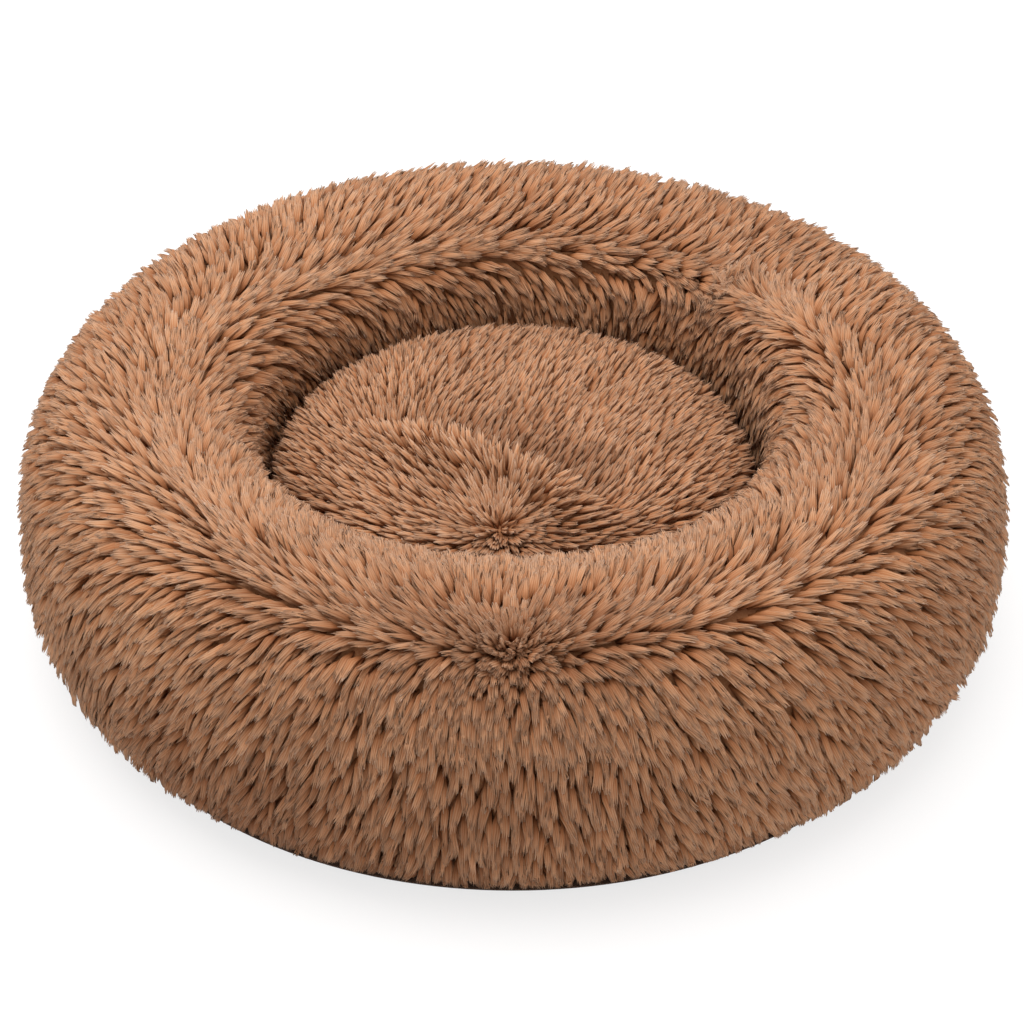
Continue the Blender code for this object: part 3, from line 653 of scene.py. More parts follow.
# The slot of the zip stays bare, and deep in the well, below the cushion, the pile is thinner.
point, outward, run = section.at(lengths)
inner = point[:, 0] < CREST_RADIUS
keep = ~in_slot(wrapped(turns), point[:, 1] - 0.0005, 0.001)
keep |= inner
keep &= ~(inner & (point[:, 1] < HIDDEN_HEIGHT) & (draw.uniform(size=len(turns)) < HIDDEN_SHARE))
turns, lengths, point, outward, run = [values[keep] for values in (turns, lengths, point, outward, run)]
inner, outer = point[:, 0] < CREST_RADIUS, point[:, 0] > CREST_RADIUS
spoke = towards(turns)
ahead = np.stack([-spoke[:, 1], spoke[:, 0], spoke[:, 2]], axis=1)
upright = np.array([0, 0, 1.0])
place = spoke * point[:, :1] + upright * point[:, 1:]
place = place + spoke * (swell_share(wrapped(turns)) * np.maximum(0, outward[:, 0]))[:, None]
normal = spoke * outward[:, :1] + upright * outward[:, 1:]
down = spoke * run[:, :1] + upright * run[:, 1:]
near_cover = BVHTree.FromObject(ring_cover, bpy.context.evaluated_depsgraph_get())
place = np.array([near_cover.find_nearest(Vector(p))[0] for p in place])

# Which way each lock lies: as it is combed, outwards round the whorl, and down at the foot.
round_share, down_share, firm = combed(turns, lengths)
whorl_middle = section.at(whorl_length)[0] @ np.array([[0, -1, 0], [0, 0, 1.0]])
to_whorl = np.linalg.norm(place - whorl_middle, axis=1)
firm = np.minimum(firm, 0.25 + 0.75 * np.clip(to_whorl / 0.034, 0, 1))
off_front = np.degrees(np.abs(wrapped(turns + math.pi / 2)))
inner_front = bell(off_front, 55) * below(point[:, 0], 0.188, 0.02) * (point[:, 1] > 0.09)
firm = np.minimum(firm, 1 - 0.45 * inner_front)
flow = ahead * round_share[:, None] + down * down_share[:, None]
spread = (place - whorl_middle) / np.maximum(to_whorl, 1e-4)[:, None]
on_whorl = bell(to_whorl, 0.020)[:, None]
flow = flow * (1 - on_whorl) + spread * on_whorl
foot = below(place[:, 2], 0.030, 0.020) * outer
flow = on_cloth(flow - upright * (0.6 * foot)[:, None], normal)
flow += draw.normal(size=flow.shape) * (0.24 * (1 - firm) + 0.02)[:, None]
flow = unit(on_cloth(flow, normal))
stray = np.radians(7) * draw.normal(size=len(turns)) + np.radians(7) * wander(place, seed=5, size=0.05)
flow = np.cos(stray)[:, None] * flow + np.sin(stray)[:, None] * np.cross(normal, flow)

# How long each lock is and how steeply it rises. None reaches the slider's path, and those on the lip lie low.
length = LOCK_LENGTH * draw.uniform(0.86, 1.10, len(turns)) * (0.66 + 0.34 * firm)
length *= 0.68 + 0.32 * np.clip(to_whorl / 0.035, 0, 1)
zip_top = max(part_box("zip_slider")[1].z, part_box("zip_pull_tab")[1].z) + ZIP_CLEARANCE
room = (place[:, 2] - zip_top) / np.maximum(0.2, -flow[:, 2])
over_zip = in_slot(wrapped(turns), place[:, 2], LOCK_LENGTH) & outer
length = np.where(over_zip & (room > 0), np.minimum(length, np.maximum(room, SHORTEST_LOCK)), length)
wall = below(place[:, 2], 0.110, 0.040) * outer
inner_wall = below(place[:, 2], 0.122, 0.020) * inner
rise = ROOT_RISE + LOOSE_RISE * (1 - firm) + WALL_RISE * wall + draw.uniform(-4, 4, len(turns))
rise += 12 * bell(lengths - parting(turns), 0.008) * bell(off_front, 32)
length *= (1 - 0.06 * wall) * (1 - 0.30 * foot)
length *= 1 - 0.22 * inner_wall
half_widths = LOCK_HALF_WIDTH * (1 - 0.22 * inner_wall)
below_zip = in_slot(wrapped(turns), place[:, 2], SLOT_HEIGHTS[0]) & (place[:, 2] < SLOT_HEIGHTS[0]) & outer
rise = np.where(below_zip, LIP_RISE, rise)
paleness = LIP_SHADE * below_zip
down_bend, round_bend = np.interp(lengths, section.length, section.curve), outward[:, 0] / point[:, 0]
slant = np.sum(flow * down, axis=1) ** 2
bend = down_bend * slant + round_bend * (1 - slant)

# Painted light and shade in each lock's tone: darker over the front crest and wall, paler on the inner wall.
painted_light = 0.12 * inner_front - 0.46 * bell(off_front, 16) * bell(point[:, 0] - 0.207, 0.018)
painted_light = painted_light + 0.42 * inner_wall - 0.18 * wall * bell(off_front, 35)
painted_light = painted_light - 0.36 * wall * bell(degrees_past(turns, 333), 26) + 0.16 * wall * bell(degrees_past(turns, 27), 22)
tone_and_painted_light = 0.5 + painted_light + TONE_SCATTER * draw.normal(size=len(turns)) + 0.10 * wander(place, seed=9, size=0.09)
tone_and_painted_light = np.clip(tone_and_painted_light, *TONE_LIMITS)


def hold_off_floor(points):
    """Strands that reach the floor lie on it, drawn in under the ring."""
    low = np.maximum(0, FLOOR_MARGIN - points[..., 2])
    r = np.hypot(points[..., 0], points[..., 1])
    points[..., 2] += low
    points[..., :2] *= np.minimum(1, (FOOT_RADIUS + points[..., 2]) / r)[..., None]


def keep_out_of_well(points):
    """The pile in the well is pressed back by the cushion."""
    r = np.hypot(points[..., 0], points[..., 1])
    points[..., :2] *= (np.maximum(r, WELL_CLEARANCE) / r)[..., None]


# Crimped polyester staple: tan, matt and soft, darker at the roots, with a painted highlight in the pale split ends.
fibre, tree, out = new_material("Long-pile polyester plush")
where = add_node(tree, "ShaderNodeUVMap", uv_map="OFBake")
parts = add_node(tree, "ShaderNodeSeparateXYZ", {0: where.outputs["UV"]})
root_to_tip = [(0.0, "#9E6034"), (0.25, "#AF7146"), (0.50, "#BF8E69"), (0.78, "#C9A183"), (0.90, "#D4B29A")]
root_to_tip.append((1.0, "#E9CDB8"))
along = add_node(tree, "ShaderNodeValToRGB", {"Fac": parts.outputs["Y"]}, stops=root_to_tip)
# Each lock's tone, which carries painted light and shade as well as its own random tone, darkens its colour by up to
# this much.
tones_and_painted_light = [(0.0, "#BCAFA5"), (0.5, "#EAE4E0"), (1.0, "#FFFFFF")]
shade = add_node(tree, "ShaderNodeValToRGB", {"Fac": parts.outputs["X"]}, stops=tones_and_painted_light)
both = {"Factor": 1.0, 6: along.outputs[0], 7: shade.outputs[0]}
colour = add_node(tree, "ShaderNodeMix", both, data_type="RGBA", blend_type="MULTIPLY")
coat(tree, out, {"Base Color": colour.outputs[2], "Roughness": 0.75, "Specular IOR Level": 0.25})

layers = two_layers("ring", length, rise, half_widths, RIBS, LOCK_PITCH)
for name, far, lift, half_width, ribs, stations, reach in layers:
    points = lay_locks(draw, place, normal, flow, far, lift, bend, half_width, ribs, stations)
    hold_off_floor(points)
    keep_out_of_well(points)
    add_pile(name, points, tone_and_painted_light, paleness, ribs, stations, reach, fibre, "ring")


# The base cloth: dark brown oxford, woven from thick threads and cut round, that closes the ring from below.
# Pads of vinyl are fused onto its underside in a honeycomb, so that the bed doesn't slip on a smooth floor.
BASE_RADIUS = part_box("base_panel")[1].x
BASE_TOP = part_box("base_panel")[1].z
PAD_HEIGHT = 0.0006
PAD_RADIUS = 0.002
PAD_PITCH = 0.017
PAD_MARGIN = 0.012
OXFORD_THREAD = 0.0008


def round_cloth(name, radius, low, high):
    """A round of cloth with softened edges, lying flat between two heights."""
    bpy.ops.mesh.primitive_circle_add(vertices=192, radius=radius, fill_type="NGON", location=(0, 0, low))
    cloth = bpy.context.object
    cloth.name = cloth.data.name = name
    bpy.ops.object.mode_set(mode="EDIT")
    thicken(cloth, high - low)
    return cloth


def thicken(cloth, thickness):
    """Raises a flat cloth, which is being edited, to its thickness, ends the editing and softens its edges."""
    bpy.ops.mesh.select_all(action="SELECT")
    bpy.ops.mesh.extrude_region_move(TRANSFORM_OT_translate={"value": (0, 0, thickness)})
    bpy.ops.mesh.select_all(action="SELECT")
    bpy.ops.mesh.normals_make_consistent(inside=False)
    bpy.ops.object.mode_set(mode="OBJECT")
    bpy.ops.object.transform_apply()
    soften(cloth, thickness * 0.3)


def soften(piece, width, segments=2):
    """Rounds off a piece's edges, and shades it smooth up to them."""
    select_only(piece)
    bevel = piece.modifiers.new("Soft edges", "BEVEL")
    bevel.width = width
    bevel.segments = segments
    bevel.limit_method = "ANGLE"
    bpy.ops.object.modifier_apply(modifier=bevel.name)
    bpy.ops.object.shade_smooth_by_angle(angle=math.radians(40))


def repeat(model, name, placed):
    """One piece that has the model's faces once for each set of places of its points. The model is removed."""
    corners = np.empty(len(model.data.loops), np.int32)
    model.data.loops.foreach_get("vertex_index", corners)
    sizes = np.empty(len(model.data.polygons), np.int32)
    model.data.polygons.foreach_get("loop_total", sizes)
    mesh = copied_mesh(name, placed, corners, sizes)
    mesh.update(calc_edges=True)
    bpy.data.objects.remove(model)
    return new_piece(name, mesh)


def points_of(piece):
    """The points of a piece's mesh, one in each row."""
    flat = np.empty(3 * len(piece.data.vertices))
    piece.data.vertices.foreach_get("co", flat)
    return flat.reshape(-1, 3)


base_cloth = round_cloth("base_cloth", BASE_RADIUS, PAD_HEIGHT, BASE_TOP)
bpy.ops.mesh.primitive_cylinder_add(vertices=10, radius=PAD_RADIUS, depth=2 * PAD_HEIGHT, location=(0, 0, PAD_HEIGHT))
pad = bpy.context.object
bpy.ops.object.transform_apply()
soften(pad, PAD_HEIGHT * 0.4, segments=1)
spots = []
for row in range(-16, 17):
    y = row * PAD_PITCH * math.sqrt(0.75)
    for column in range(-16, 17):
        x = (column + 0.5 * (row % 2)) * PAD_PITCH
        if math.hypot(x, y) < BASE_RADIUS - PAD_MARGIN:
            spots.append((x, y, 0))
grip_pads = repeat(pad, "grip_pads", points_of(pad)[None] + np.array(spots)[:, None])


def woven_material(name, thread, low, high, roughness, uv_map=None):
    """Plain weave: threads one way and the other, each over and under the next, in two tones of one colour."""
    made, tree, out = new_material(name)
    if uv_map:
        where = add_node(tree, "ShaderNodeUVMap", uv_map=uv_map).outputs["UV"]
    else:
        where = add_node(tree, "ShaderNodeTexCoord").outputs["Object"]
    parts = add_node(tree, "ShaderNodeSeparateXYZ", {0: where})
    waves = []
    for way in ("X", "Y"):
        run = add_node(tree, "ShaderNodeMath", {0: parts.outputs[way], 1: math.pi / thread}, operation="MULTIPLY")
        waves.append(add_node(tree, "ShaderNodeMath", {0: run.outputs[0]}, operation="SINE"))
    over = add_node(tree, "ShaderNodeMath", {0: waves[0].outputs[0], 1: waves[1].outputs[0]}, operation="MULTIPLY")
    weave = add_node(tree, "ShaderNodeMapRange", {"Value": over.outputs[0], "From Min": -1.0})
    colour = add_node(tree, "ShaderNodeValToRGB", {"Fac": weave.outputs[0]}, stops=[(0.2, low), (0.8, high)])
    bump = add_node(tree, "ShaderNodeBump", {"Height": weave.outputs[0], "Strength": 0.6, "Distance": thread / 3})
    coat(tree, out, {"Base Color": colour.outputs[0], "Roughness": roughness, "Normal": bump.outputs[0]})
    return made


def fibrous_material(name, grain, low, high, roughness):
    """A fibrous surface in two tones of one colour, mottled and raised a little by a noise of this grain."""
    made, tree, out = new_material(name)
    where = add_node(tree, "ShaderNodeTexCoord").outputs["Object"]
    noise = add_node(tree, "ShaderNodeTexNoise", {"Vector": where, "Scale": 1 / grain, "Detail": 4.0})
    colour = add_node(tree, "ShaderNodeValToRGB", {"Fac": noise.outputs[0]}, stops=[(0.35, low), (0.65, high)])
    bump = add_node(tree, "ShaderNodeBump", {"Height": noise.outputs[0], "Strength": 0.5, "Distance": grain / 2})
    coat(tree, out, {"Base Color": colour.outputs[0], "Roughness": roughness, "Normal": bump.outputs[0]})
    return made


# 600-denier polyester oxford: matt, with a square weave of thick threads. The real threads are 0.4 mm apart and are
# drawn at 0.8 mm, so that they show. Vinyl: a little glossier than the cloth, and faintly uneven.
oxford = woven_material("Polyester oxford weave", OXFORD_THREAD, "#3C2A1F", "#5A4030", 0.8)
vinyl = fibrous_material("Fused vinyl", 0.003, "#2E221B", "#3A2C23", 0.45)
base_cloth.data.materials.append(oxford)
grip_pads.data.materials.append(vinyl)
for piece in (base_cloth, grip_pads):
    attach(piece, "ring")
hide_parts("base_panel")


# The binding: a flat oxford tape laid over the seam where the base cloth meets the ring's cover.
# It is held by one row of lockstitch in thick thread, sewn right round.
BINDING_INNER = BASE_RADIUS + 0.0003
BINDING_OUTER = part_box("base_binding")[1].x
STITCH_PITCH = 0.0035
STITCH_LENGTH = 0.0026
STITCH_RADIUS = 0.0002

bpy.ops.mesh.primitive_circle_add(vertices=192, radius=BINDING_INNER, fill_type="NOTHING", location=(0, 0, PAD_HEIGHT))
binding = bpy.context.object
binding.name = binding.data.name = "base_binding_tape"
bpy.ops.object.mode_set(mode="EDIT")
bpy.ops.mesh.select_all(action="SELECT")
bpy.ops.mesh.extrude_region_move(TRANSFORM_OT_translate={"value": (0, 0, 0)})
bpy.ops.transform.resize(value=(BINDING_OUTER / BINDING_INNER,) * 2 + (1,))
thicken(binding, BASE_TOP - PAD_HEIGHT)
binding.data.materials.append(oxford)

bpy.ops.mesh.primitive_cylinder_add(
    vertices=6, radius=STITCH_RADIUS, depth=STITCH_LENGTH, location=(0, 0, PAD_HEIGHT), rotation=(math.pi / 2, 0, 0)
)
stitch = bpy.context.object
bpy.ops.object.transform_apply()
soften(stitch, STITCH_RADIUS * 0.5, segments=1)


def ring_of(piece, radius, pitch):
    """The places of a model's points, stood at this pitch round the bed."""
    many = int(2 * math.pi * radius / pitch)
    turn = (np.arange(many) / many * 2 * math.pi)[:, None]
    x, y, z = points_of(piece).T
    r, cos, sin = radius + x, np.cos(turn), np.sin(turn)
    return np.stack((r * cos - y * sin, r * sin + y * cos, z + 0 * turn), axis=-1)


seam_radius = (BINDING_INNER + BINDING_OUTER) / 2
binding_stitches = repeat(stitch, "binding_stitches", ring_of(stitch, seam_radius, STITCH_PITCH))
# Bonded polyester thread: brown and slightly glossy.
thread = fibrous_material("Bonded polyester thread", 0.0006, "#5C4230", "#6E5340", 0.5)
binding_stitches.data.materials.append(thread)
for piece in (binding, binding_stitches):
    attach(piece, "ring")
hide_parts("base_binding")


# What fills the bed, and shows only where it is opened: the liner bag and the hollow fibre in it, the wadding of
# the base, and the fibre in the cushion. The liner is non-woven cloth, pressed flat with a fine grain.
liner_cloth = fibrous_material("Polypropylene non-woven", 0.0015, "#DED9D0", "#ECE8E0", 0.85)
hollow_fibre = fibrous_material("Siliconised hollow fibre", 0.006, "#E6E2D8", "#F4F2EC", 0.7)
bonded_wadding = fibrous_material("Bonded polyester wadding", 0.004, "#D2CCC0", "#E2DDD4", 0.9)
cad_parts["ring_liner"].material_slots[0].material = liner_cloth
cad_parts["ring_filling"].material_slots[0].material = hollow_fibre
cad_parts["base_wadding"].material_slots[0].material = bonded_wadding
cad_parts["cushion_filling"].material_slots[0].material = hollow_fibre


# The lining of the well's floor: a round of brushed lining cloth, laid over the wadding and caught into the ring's
# inner seam. The cushion lies on it.
LINING_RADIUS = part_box("floor_panel")[1].x
LINING_LOW, LINING_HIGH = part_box("floor_panel")[0].z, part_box("floor_panel")[1].z
floor_lining = round_cloth("floor_lining", LINING_RADIUS, LINING_LOW, LINING_HIGH)
# Brushed polyester: matt brown, with a short felted nap 1.5 mm across.
floor_lining.data.materials.append(fibrous_material("Brushed polyester lining", 0.0015, "#80583C", "#986E4E", 0.95))
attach(floor_lining, "ring")
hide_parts("floor_panel")


# The zip, low at the back, just below the pile's edge: two woven tapes sewn into the cover, and a nylon spiral sewn
# to the edge of each. A bronzed slider closes them to the right, and clenched stops end them.
TAPE_INNER, TAPE_OUTER = 0.2364, 0.2372
COIL_RADIUS = 0.23815
COIL_HALF_DEPTH = 0.0007
COIL_HALF_WIDTH = 0.0008
COIL_WIRE = 0.0003
COIL_PITCH = 0.0014
COIL_STEPS = 12
COIL_TURNS = (math.radians(56.2), math.radians(168.8))
TAPE_TURNS = (math.radians(51.15), math.radians(173.85))
TAPE_THREAD = 0.0006


def zip_tape(name, node):
    """A strip bent round the bed: its section, spun about the bed's upright axis."""
    low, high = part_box(node)[0].z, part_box(node)[1].z
    bpy.ops.mesh.primitive_plane_add(
        size=1, location=((TAPE_INNER + TAPE_OUTER) / 2, 0, (low + high) / 2), rotation=(math.pi / 2, 0, 0)
    )
    tape = bpy.context.object
    tape.name = tape.data.name = name
    tape.scale = (TAPE_OUTER - TAPE_INNER, high - low, 1)
    bpy.ops.object.transform_apply()
    tape.data.transform(Matrix.Rotation(TAPE_TURNS[0], 4, "Z"))
    bpy.ops.object.mode_set(mode="EDIT")
    bpy.ops.mesh.select_all(action="SELECT")
    bpy.ops.mesh.spin(steps=96, angle=TAPE_TURNS[1] - TAPE_TURNS[0], center=(0, 0, 0), axis=(0, 0, -1))
    bpy.ops.mesh.select_all(action="SELECT")
    bpy.ops.mesh.normals_make_consistent(inside=False)
    bpy.ops.object.mode_set(mode="OBJECT")
    soften(tape, (TAPE_OUTER - TAPE_INNER) * 0.3)
    weave = tape.data.uv_layers.new(name="Weave")
    for loop in tape.data.loops:
        x, y, z = tape.data.vertices[loop.vertex_index].co
        weave.data[loop.index].uv = (TAPE_OUTER * math.atan2(y, x), z)
    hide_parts(node)
    return tape


def zip_spiral(name, node, shift):
    """A nylon wire wound to a flat spiral along the edge of its tape."""
    height = (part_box(node)[0].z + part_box(node)[1].z) / 2
    windings = (COIL_TURNS[1] - COIL_TURNS[0]) * COIL_RADIUS / COIL_PITCH
    along = np.linspace(0, windings, int(windings * COIL_STEPS) + 1)
    turn = COIL_TURNS[0] + along * COIL_PITCH / COIL_RADIUS
    phase = 2 * math.pi * (along + shift)
    r = COIL_RADIUS + (COIL_HALF_DEPTH - COIL_WIRE) * np.cos(phase)
    z = height + (COIL_HALF_WIDTH - COIL_WIRE) * np.sin(phase)
    line = bpy.data.curves.new(name, "CURVE")
    line.dimensions = "3D"
    line.bevel_depth = COIL_WIRE
    line.bevel_resolution = 1
    line.use_fill_caps = True
    spline = line.splines.new("POLY")
    spline.points.add(len(along) - 1)
    spots = np.stack([r * np.cos(turn), r * np.sin(turn), z, np.ones_like(z)], axis=1)
    spline.points.foreach_set("co", spots.ravel())
    spiral = new_piece(name, line)
    select_only(spiral)
    bpy.ops.object.convert(target="MESH")
    bpy.ops.object.shade_smooth()
    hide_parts(node)
    return spiral


# Woven polyester tape: matt brown, with threads 0.3 mm apart, drawn at 0.6 mm so that they show.
# Nylon monofilament: smooth and glossy, a little darker than the tape.
tape_weave = woven_material("Woven polyester zip tape", TAPE_THREAD, "#6A442E", "#865C40", 0.85, uv_map="Weave")
nylon = fibrous_material("Nylon monofilament", 0.004, "#60402B", "#6E4A32", 0.32)
for name in ("upper", "lower"):
    tape = zip_tape(f"zip_tape_woven_{name}", f"zip_tape_{name}")
    tape.data.materials.append(tape_weave)
    spiral = zip_spiral(f"zip_spiral_{name}", f"zip_coil_{name}", 0.5 if name == "lower" else 0.0)
    spiral.data.materials.append(nylon)
    for piece, finish in ((tape, "zip_tape"), (spiral, "zip_nylon")):
        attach(piece, "ring")

# Bronzed zinc: satin, brown in its hollows and a little brighter where it has been handled, in clouds of 3 mm.
WEAR_SIZE = 0.003
bronzed, tree, out = new_material("Bronzed zinc")
where = add_node(tree, "ShaderNodeTexCoord").outputs["Object"]
cloud = add_node(tree, "ShaderNodeTexNoise", {"Vector": where, "Scale": 1 / WEAR_SIZE, "Detail": 3.0})
colour = add_node(tree, "ShaderNodeValToRGB", {"Fac": cloud.outputs[0]}, stops=[(0.35, "#76593C"), (0.65, "#9C7E5E")])
wear = add_node(tree, "ShaderNodeMapRange", {"Value": cloud.outputs[0], "To Min": 0.46, "To Max": 0.32})
coat(tree, out, {"Base Color": colour.outputs[0], "Metallic": 1.0, "Roughness": wear.outputs[0]})
for node in ("zip_slider", "zip_pull_tab", "zip_top_stop_upper", "zip_top_stop_lower", "zip_bottom_stop"):
    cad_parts[node].material_slots[0].material = bronzed


# The cushion's stuffed form: a round pillow with a crowned top and a fold pressed across it near the front.
# Its top is the same plush as the ring, and its underside a short one.
CUSHION_SEAM = 0.066
SEAM_CUT = CUSHION_SEAM + 0.0002
CUSHION_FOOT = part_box("cushion_bottom_panel")[0].z
CUSHION_TOP = 0.110
CROWN_POWER = 4.0
BELLY_POWER = 3.2
CUSHION_PILE_DEPTH = 0.0065
CUSHION_SKIN_RADIUS = CUSHION_RADIUS - CUSHION_PILE_DEPTH
CUSHION_SKIN_RISE = CUSHION_TOP - CUSHION_SEAM - CUSHION_PILE_DEPTH
CUSHION_SWELL = 0.001
FOLD_MIDDLE = (-0.0120, -0.034)
FOLD_TURN = math.radians(-32)
FOLD_HALF_LENGTH = 0.050
LOBE_HALF_LENGTH = 0.061
LOBE_RISE = 0.0160
VALLEY_DEPTH = 0.0105
VALLEY_RUN_OUT = 0.022
FOLD_EDGE = 0.0015
FOLD_FADE_POWER = 6


def fold_axes(x, y):
    """Places along the fold and across it, from its middle."""
    x, y = x - FOLD_MIDDLE[0], y - FOLD_MIDDLE[1]
    return x * math.cos(FOLD_TURN) + y * math.sin(FOLD_TURN), y * math.cos(FOLD_TURN) - x * math.sin(FOLD_TURN)


def window(along, half_length):
    """1 along the middle of a fold, with a steep fall at both of its ends."""
    return np.exp(-((along / half_length) ** 4))


def fold_height(x, y):
    """How far the fold lifts or presses the cushion's top."""
    along, across = fold_axes(x, y)
    past = 1 / (1 + np.exp(np.clip(-across / FOLD_EDGE, -50, 50)))
    lobe = LOBE_RISE * bell(across + 0.007, 0.015) * (1 - past)
    valley = VALLEY_DEPTH * past * np.exp(-np.maximum(0, across) / VALLEY_RUN_OUT)
    return lobe * window(along, LOBE_HALF_LENGTH) - valley * window(along, FOLD_HALF_LENGTH)


def top_height(x, y):
    """The height of the cushion's top, under its pile."""
    r = np.hypot(x, y)
    share = np.clip(r / CUSHION_SKIN_RADIUS, 0, 1)
    crown = CUSHION_SEAM + CUSHION_SKIN_RISE * (1 - share**CROWN_POWER) ** (1 / CROWN_POWER)
    return crown + fold_height(x, y) * (1 - (r / CUSHION_RADIUS) ** FOLD_FADE_POWER)


bpy.ops.mesh.primitive_uv_sphere_add(segments=128, ring_count=64, radius=1)
cushion_body = bpy.context.object
cushion_body.name = "cushion_cover"
for vertex in cushion_body.data.vertices:
    x, y, z = vertex.co
    flat, turn = math.hypot(x, y), math.atan2(y, x)
    power = CROWN_POWER if z >= 0 else BELLY_POWER
    r = CUSHION_SKIN_RADIUS * min(1, flat) ** (2 / power)
    tall = CUSHION_SKIN_RISE if z >= 0 else CUSHION_SEAM - CUSHION_FOOT - 0.0005
    height = CUSHION_SEAM + math.copysign(tall * abs(z) ** (2 / power), z)
    x, y = r * math.cos(turn), r * math.sin(turn)
    if z > 0:
        height += fold_height(x, y) * (1 - (r / CUSHION_RADIUS) ** FOLD_FADE_POWER)
    vertex.co = (x, y, height)
stuff(cushion_body, CUSHION_SWELL)
cushion_underside = cushion_body.copy()
cushion_underside.data = cushion_body.data.copy()
cushion_underside.name = cushion_underside.data.name = "cushion_underside"
bpy.context.scene.collection.objects.link(cushion_underside)
for piece, upper in ((cushion_body, True), (cushion_underside, False)):
    select_only(piece)
    bpy.ops.object.mode_set(mode="EDIT")
    bpy.ops.mesh.select_all(action="SELECT")
    bpy.ops.mesh.bisect(
        plane_co=(0, 0, SEAM_CUT), plane_no=(0, 0, 1), use_fill=True, clear_inner=upper, clear_outer=not upper
    )
    bpy.ops.object.mode_set(mode="OBJECT")
    bpy.ops.object.shade_smooth_by_angle(angle=math.radians(45))
    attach(piece, "cushion")
cushion_body.data.materials.append(knit)
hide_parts("cushion_top_panel")
# Short plush: a velvety brown nap 1.2 mm long, painted darker than the long pile as the shade in its upright nap.
cushion_underside.data.materials.append(fibrous_material("Short polyester plush", 0.0012, "#845A40", "#A27656", 0.9))
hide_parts("cushion_bottom_panel")


# The cushion's seam: a rolled edge of the same knit, drawn in by each stitch, where its top meets its underside.
PIPING_RADIUS = CUSHION_SKIN_RADIUS + 0.0005
PIPING_THICKNESS = 0.0017
PIPING_STITCH = 0.004
PIPING_PINCH = 0.22

stitches = int(2 * math.pi * PIPING_RADIUS / PIPING_STITCH)
bpy.ops.mesh.primitive_torus_add(
    major_segments=4 * stitches,
    minor_segments=10,
    major_radius=PIPING_RADIUS,
    minor_radius=PIPING_THICKNESS,
    location=(0, 0, CUSHION_SEAM),
)
cushion_seam = bpy.context.object
cushion_seam.name = cushion_seam.data.name = "cushion_seam_roll"
bpy.ops.object.transform_apply()
for vertex in cushion_seam.data.vertices:
    x, y, z = vertex.co
    turn, r = math.atan2(y, x), math.hypot(x, y)
    drawn = 1 - PIPING_PINCH * abs(math.cos(turn * stitches / 2)) ** 4
    r = PIPING_RADIUS + (r - PIPING_RADIUS) * drawn
    vertex.co = (r * math.cos(turn), r * math.sin(turn), CUSHION_SEAM + (z - CUSHION_SEAM) * drawn)
bpy.ops.object.shade_smooth()
cushion_seam.data.materials.append(knit)
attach(cushion_seam, "cushion")


# The cushion's pile. It is combed out from a whorl near its front edge, and swings to the right over its back.
CUSHION_LOCK_PITCH = 0.0035
CUSHION_LOCK_LENGTH = 0.0140
CUSHION_LOCK_HALF_WIDTH = 0.0015
CUSHION_RIBS = 2
CUSHION_WHORL = (-0.007, -0.078)
CUSHION_WHORL_LOCKS = 220
CUSHION_EDGE_RADIUS = 0.1238
SIDE_ROWS = (0.0985, 0.0920, 0.0855, 0.0790, 0.0735)
SIDE_RISE = 34.0
LONGEST_SIDE_LOCK = 0.0135
SLOPE_STEP = 0.0005
STEEPEST_SLOPE = 3

# The rows run on past the edge of the top. What lies there is left out again, after the draws.
draw = np.random.default_rng(23)
spots = []
for number, far in enumerate(np.arange(0, 0.160, CUSHION_LOCK_PITCH * 1.12)):
    r, drop = min(far, CUSHION_SKIN_RADIUS), max(0, far - CUSHION_SKIN_RADIUS)
    many = max(1, int(2 * math.pi * r / CUSHION_LOCK_PITCH))
    for k in range(many):
        turn = (k + 0.5 * (number % 2)) / many * 2 * math.pi
        spots.append((r * math.cos(turn), r * math.sin(turn), drop))
spots = np.array(spots)
spots[:, :2] += draw.uniform(-0.3, 0.3, (len(spots), 2)) * CUSHION_LOCK_PITCH
extra = draw.normal(size=(CUSHION_WHORL_LOCKS, 3)) * (0.010, 0.010, 0) + (*CUSHION_WHORL, 0)
spots = np.concatenate([spots, extra])
inside = np.hypot(spots[:, 0], spots[:, 1]) < CUSHION_SKIN_RADIUS - 0.0008
x, y = spots[inside & (spots[:, 2] == 0), :2].T

place = np.stack([x, y, top_height(x, y)], axis=1)
slopes = [
    (top_height(x + dx, y + dy) - top_height(x - dx, y - dy)) / (2 * SLOPE_STEP)
    for dx, dy in ((SLOPE_STEP, 0), (0, SLOPE_STEP))
]
normal = unit(np.stack([*-np.clip(slopes, -STEEPEST_SLOPE, STEEPEST_SLOPE), np.ones_like(x)], axis=1))
away = np.arctan2(y - CUSHION_WHORL[1], x - CUSHION_WHORL[0])
swing = -33 * bell(x + 0.032, 0.040) * np.clip(0.6 + (y + 0.050) / 0.10, 0, 1)
swing -= 12 * bell(x - 0.020, 0.070) * np.clip((y + 0.020) / 0.040, 0, 1)
swing += 24 * bell(x - 0.062, 0.032) * bell(y + 0.045, 0.035)
run_along, run_across = fold_axes(x, y)
on_fold = window(run_along, FOLD_HALF_LENGTH)
swing -= 12 * np.tanh(run_across / 0.005) * on_fold * np.exp(-np.abs(run_across) / 0.03)
heading = away + np.radians(swing) + np.radians(6) * draw.normal(size=len(x))
heading += np.radians(6) * wander(place, seed=31, size=0.05)
flow = unit(on_cloth(towards(heading), normal))
from_whorl = np.hypot(x - CUSHION_WHORL[0], y - CUSHION_WHORL[1])
firm = np.minimum(1, from_whorl / 0.012)
length = CUSHION_LOCK_LENGTH * draw.uniform(0.88, 1.10, len(x)) * (0.75 + 0.25 * firm)
crest = window(run_along, LOBE_HALF_LENGTH) * bell(run_across + 0.006, 0.008)
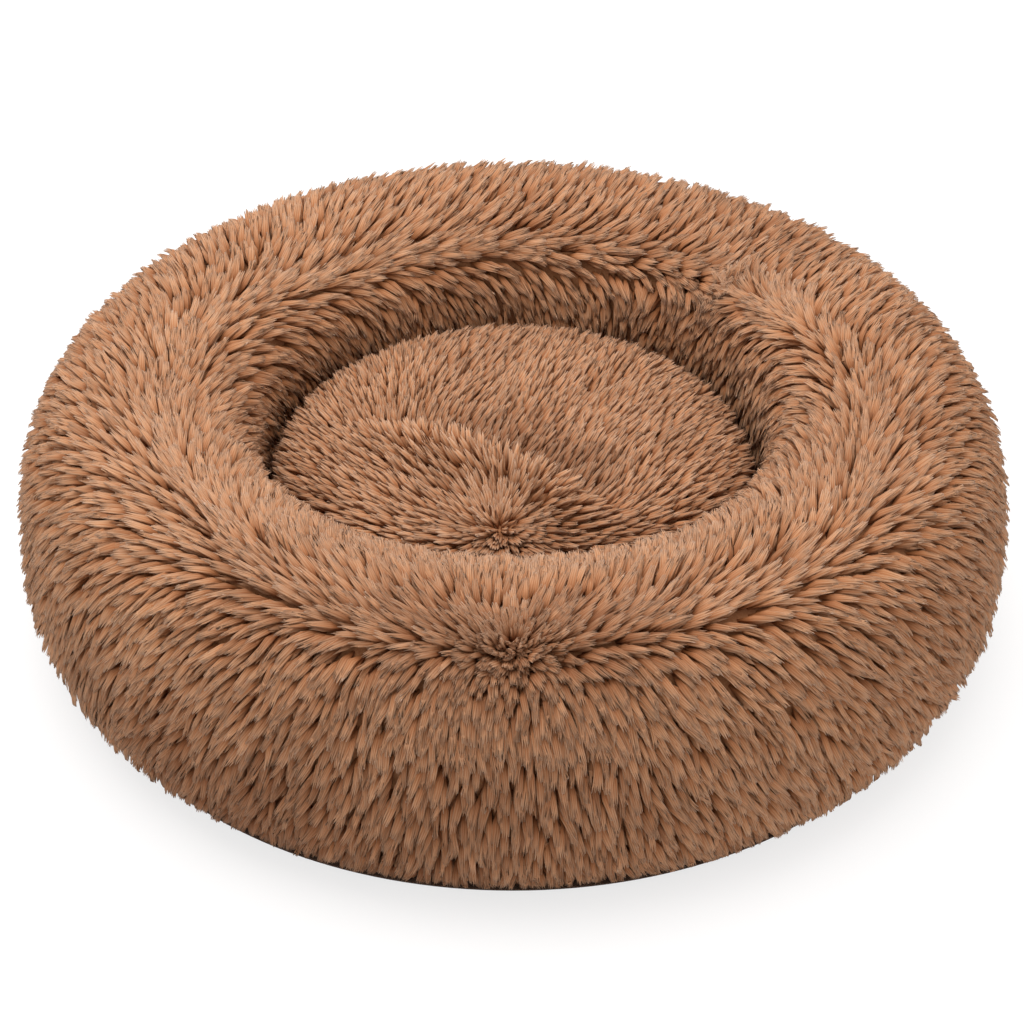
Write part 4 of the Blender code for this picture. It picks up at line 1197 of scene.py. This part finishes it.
rise = ROOT_RISE + LOOSE_RISE * (1 - firm) + 14 * crest + draw.uniform(-5, 5, len(x))
bend = np.full(len(x), 1 / 0.6)
# Painted light and shade in each lock's tone: paler on the fold's crest, darker in the valley behind it and round the
# whorl.
painted_light = 0.34 * crest - 0.55 * (on_fold * bell(run_across - 0.020, 0.016)) - 0.15 * bell(from_whorl, 0.030)
tone_and_painted_light = 0.42 + painted_light + TONE_SCATTER * draw.normal(size=len(x)) + 0.10 * wander(place, seed=37, size=0.06)
tone_and_painted_light = np.clip(tone_and_painted_light, *TONE_LIMITS)

# The pile on the cushion's side hangs down to the seam.
in_row = int(2 * math.pi * CUSHION_SKIN_RADIUS / CUSHION_LOCK_PITCH)
side_count = in_row * len(SIDE_ROWS)
side_turns = np.tile(np.arange(in_row), len(SIDE_ROWS)) + draw.uniform(-0.4, 0.4, side_count)
side_turns *= 2 * math.pi / in_row
heights = np.repeat(SIDE_ROWS, in_row) + draw.uniform(-0.0015, 0.0015, side_count)
spoke = towards(side_turns)
on_side = spoke * CUSHION_SKIN_RADIUS
near_cushion = BVHTree.FromObject(cushion_body, bpy.context.evaluated_depsgraph_get())
side_place = [near_cushion.find_nearest(Vector(p))[0] for p in on_side + upright * heights[:, None]]
side_flow = unit(np.cross(upright, spoke) * (0.25 * wander(on_side, seed=41, size=0.05))[:, None] - upright)
side_length = np.minimum(LONGEST_SIDE_LOCK, heights - CUSHION_SEAM - 0.0015) * draw.uniform(0.88, 1.05, side_count)
side_tone = np.clip(0.5 + TONE_SCATTER * draw.normal(size=side_count), *TONE_LIMITS)
place, normal, flow, length, rise, bend, tone_and_painted_light = [
    np.concatenate(pair)
    for pair in (
        (place, side_place),
        (normal, spoke),
        (flow, side_flow),
        (length, side_length),
        (rise, np.full(side_count, SIDE_RISE)),
        (bend, np.zeros(side_count)),
        (tone_and_painted_light, side_tone),
    )
]
half_widths = np.full(len(place), CUSHION_LOCK_HALF_WIDTH)
layers = two_layers("cushion", length, rise, half_widths, CUSHION_RIBS, CUSHION_LOCK_PITCH)
for name, far, lift, half_width, ribs, stations, reach in layers:
    points = lay_locks(draw, place, normal, flow, far, lift, bend, half_width, ribs, stations)
    r = np.hypot(points[..., 0], points[..., 1])
    points[..., :2] *= (np.minimum(r, CUSHION_EDGE_RADIUS) / r)[..., None]
    add_pile(name, points, tone_and_painted_light, np.zeros(len(place)), ribs, stations, reach, fibre, "cushion")
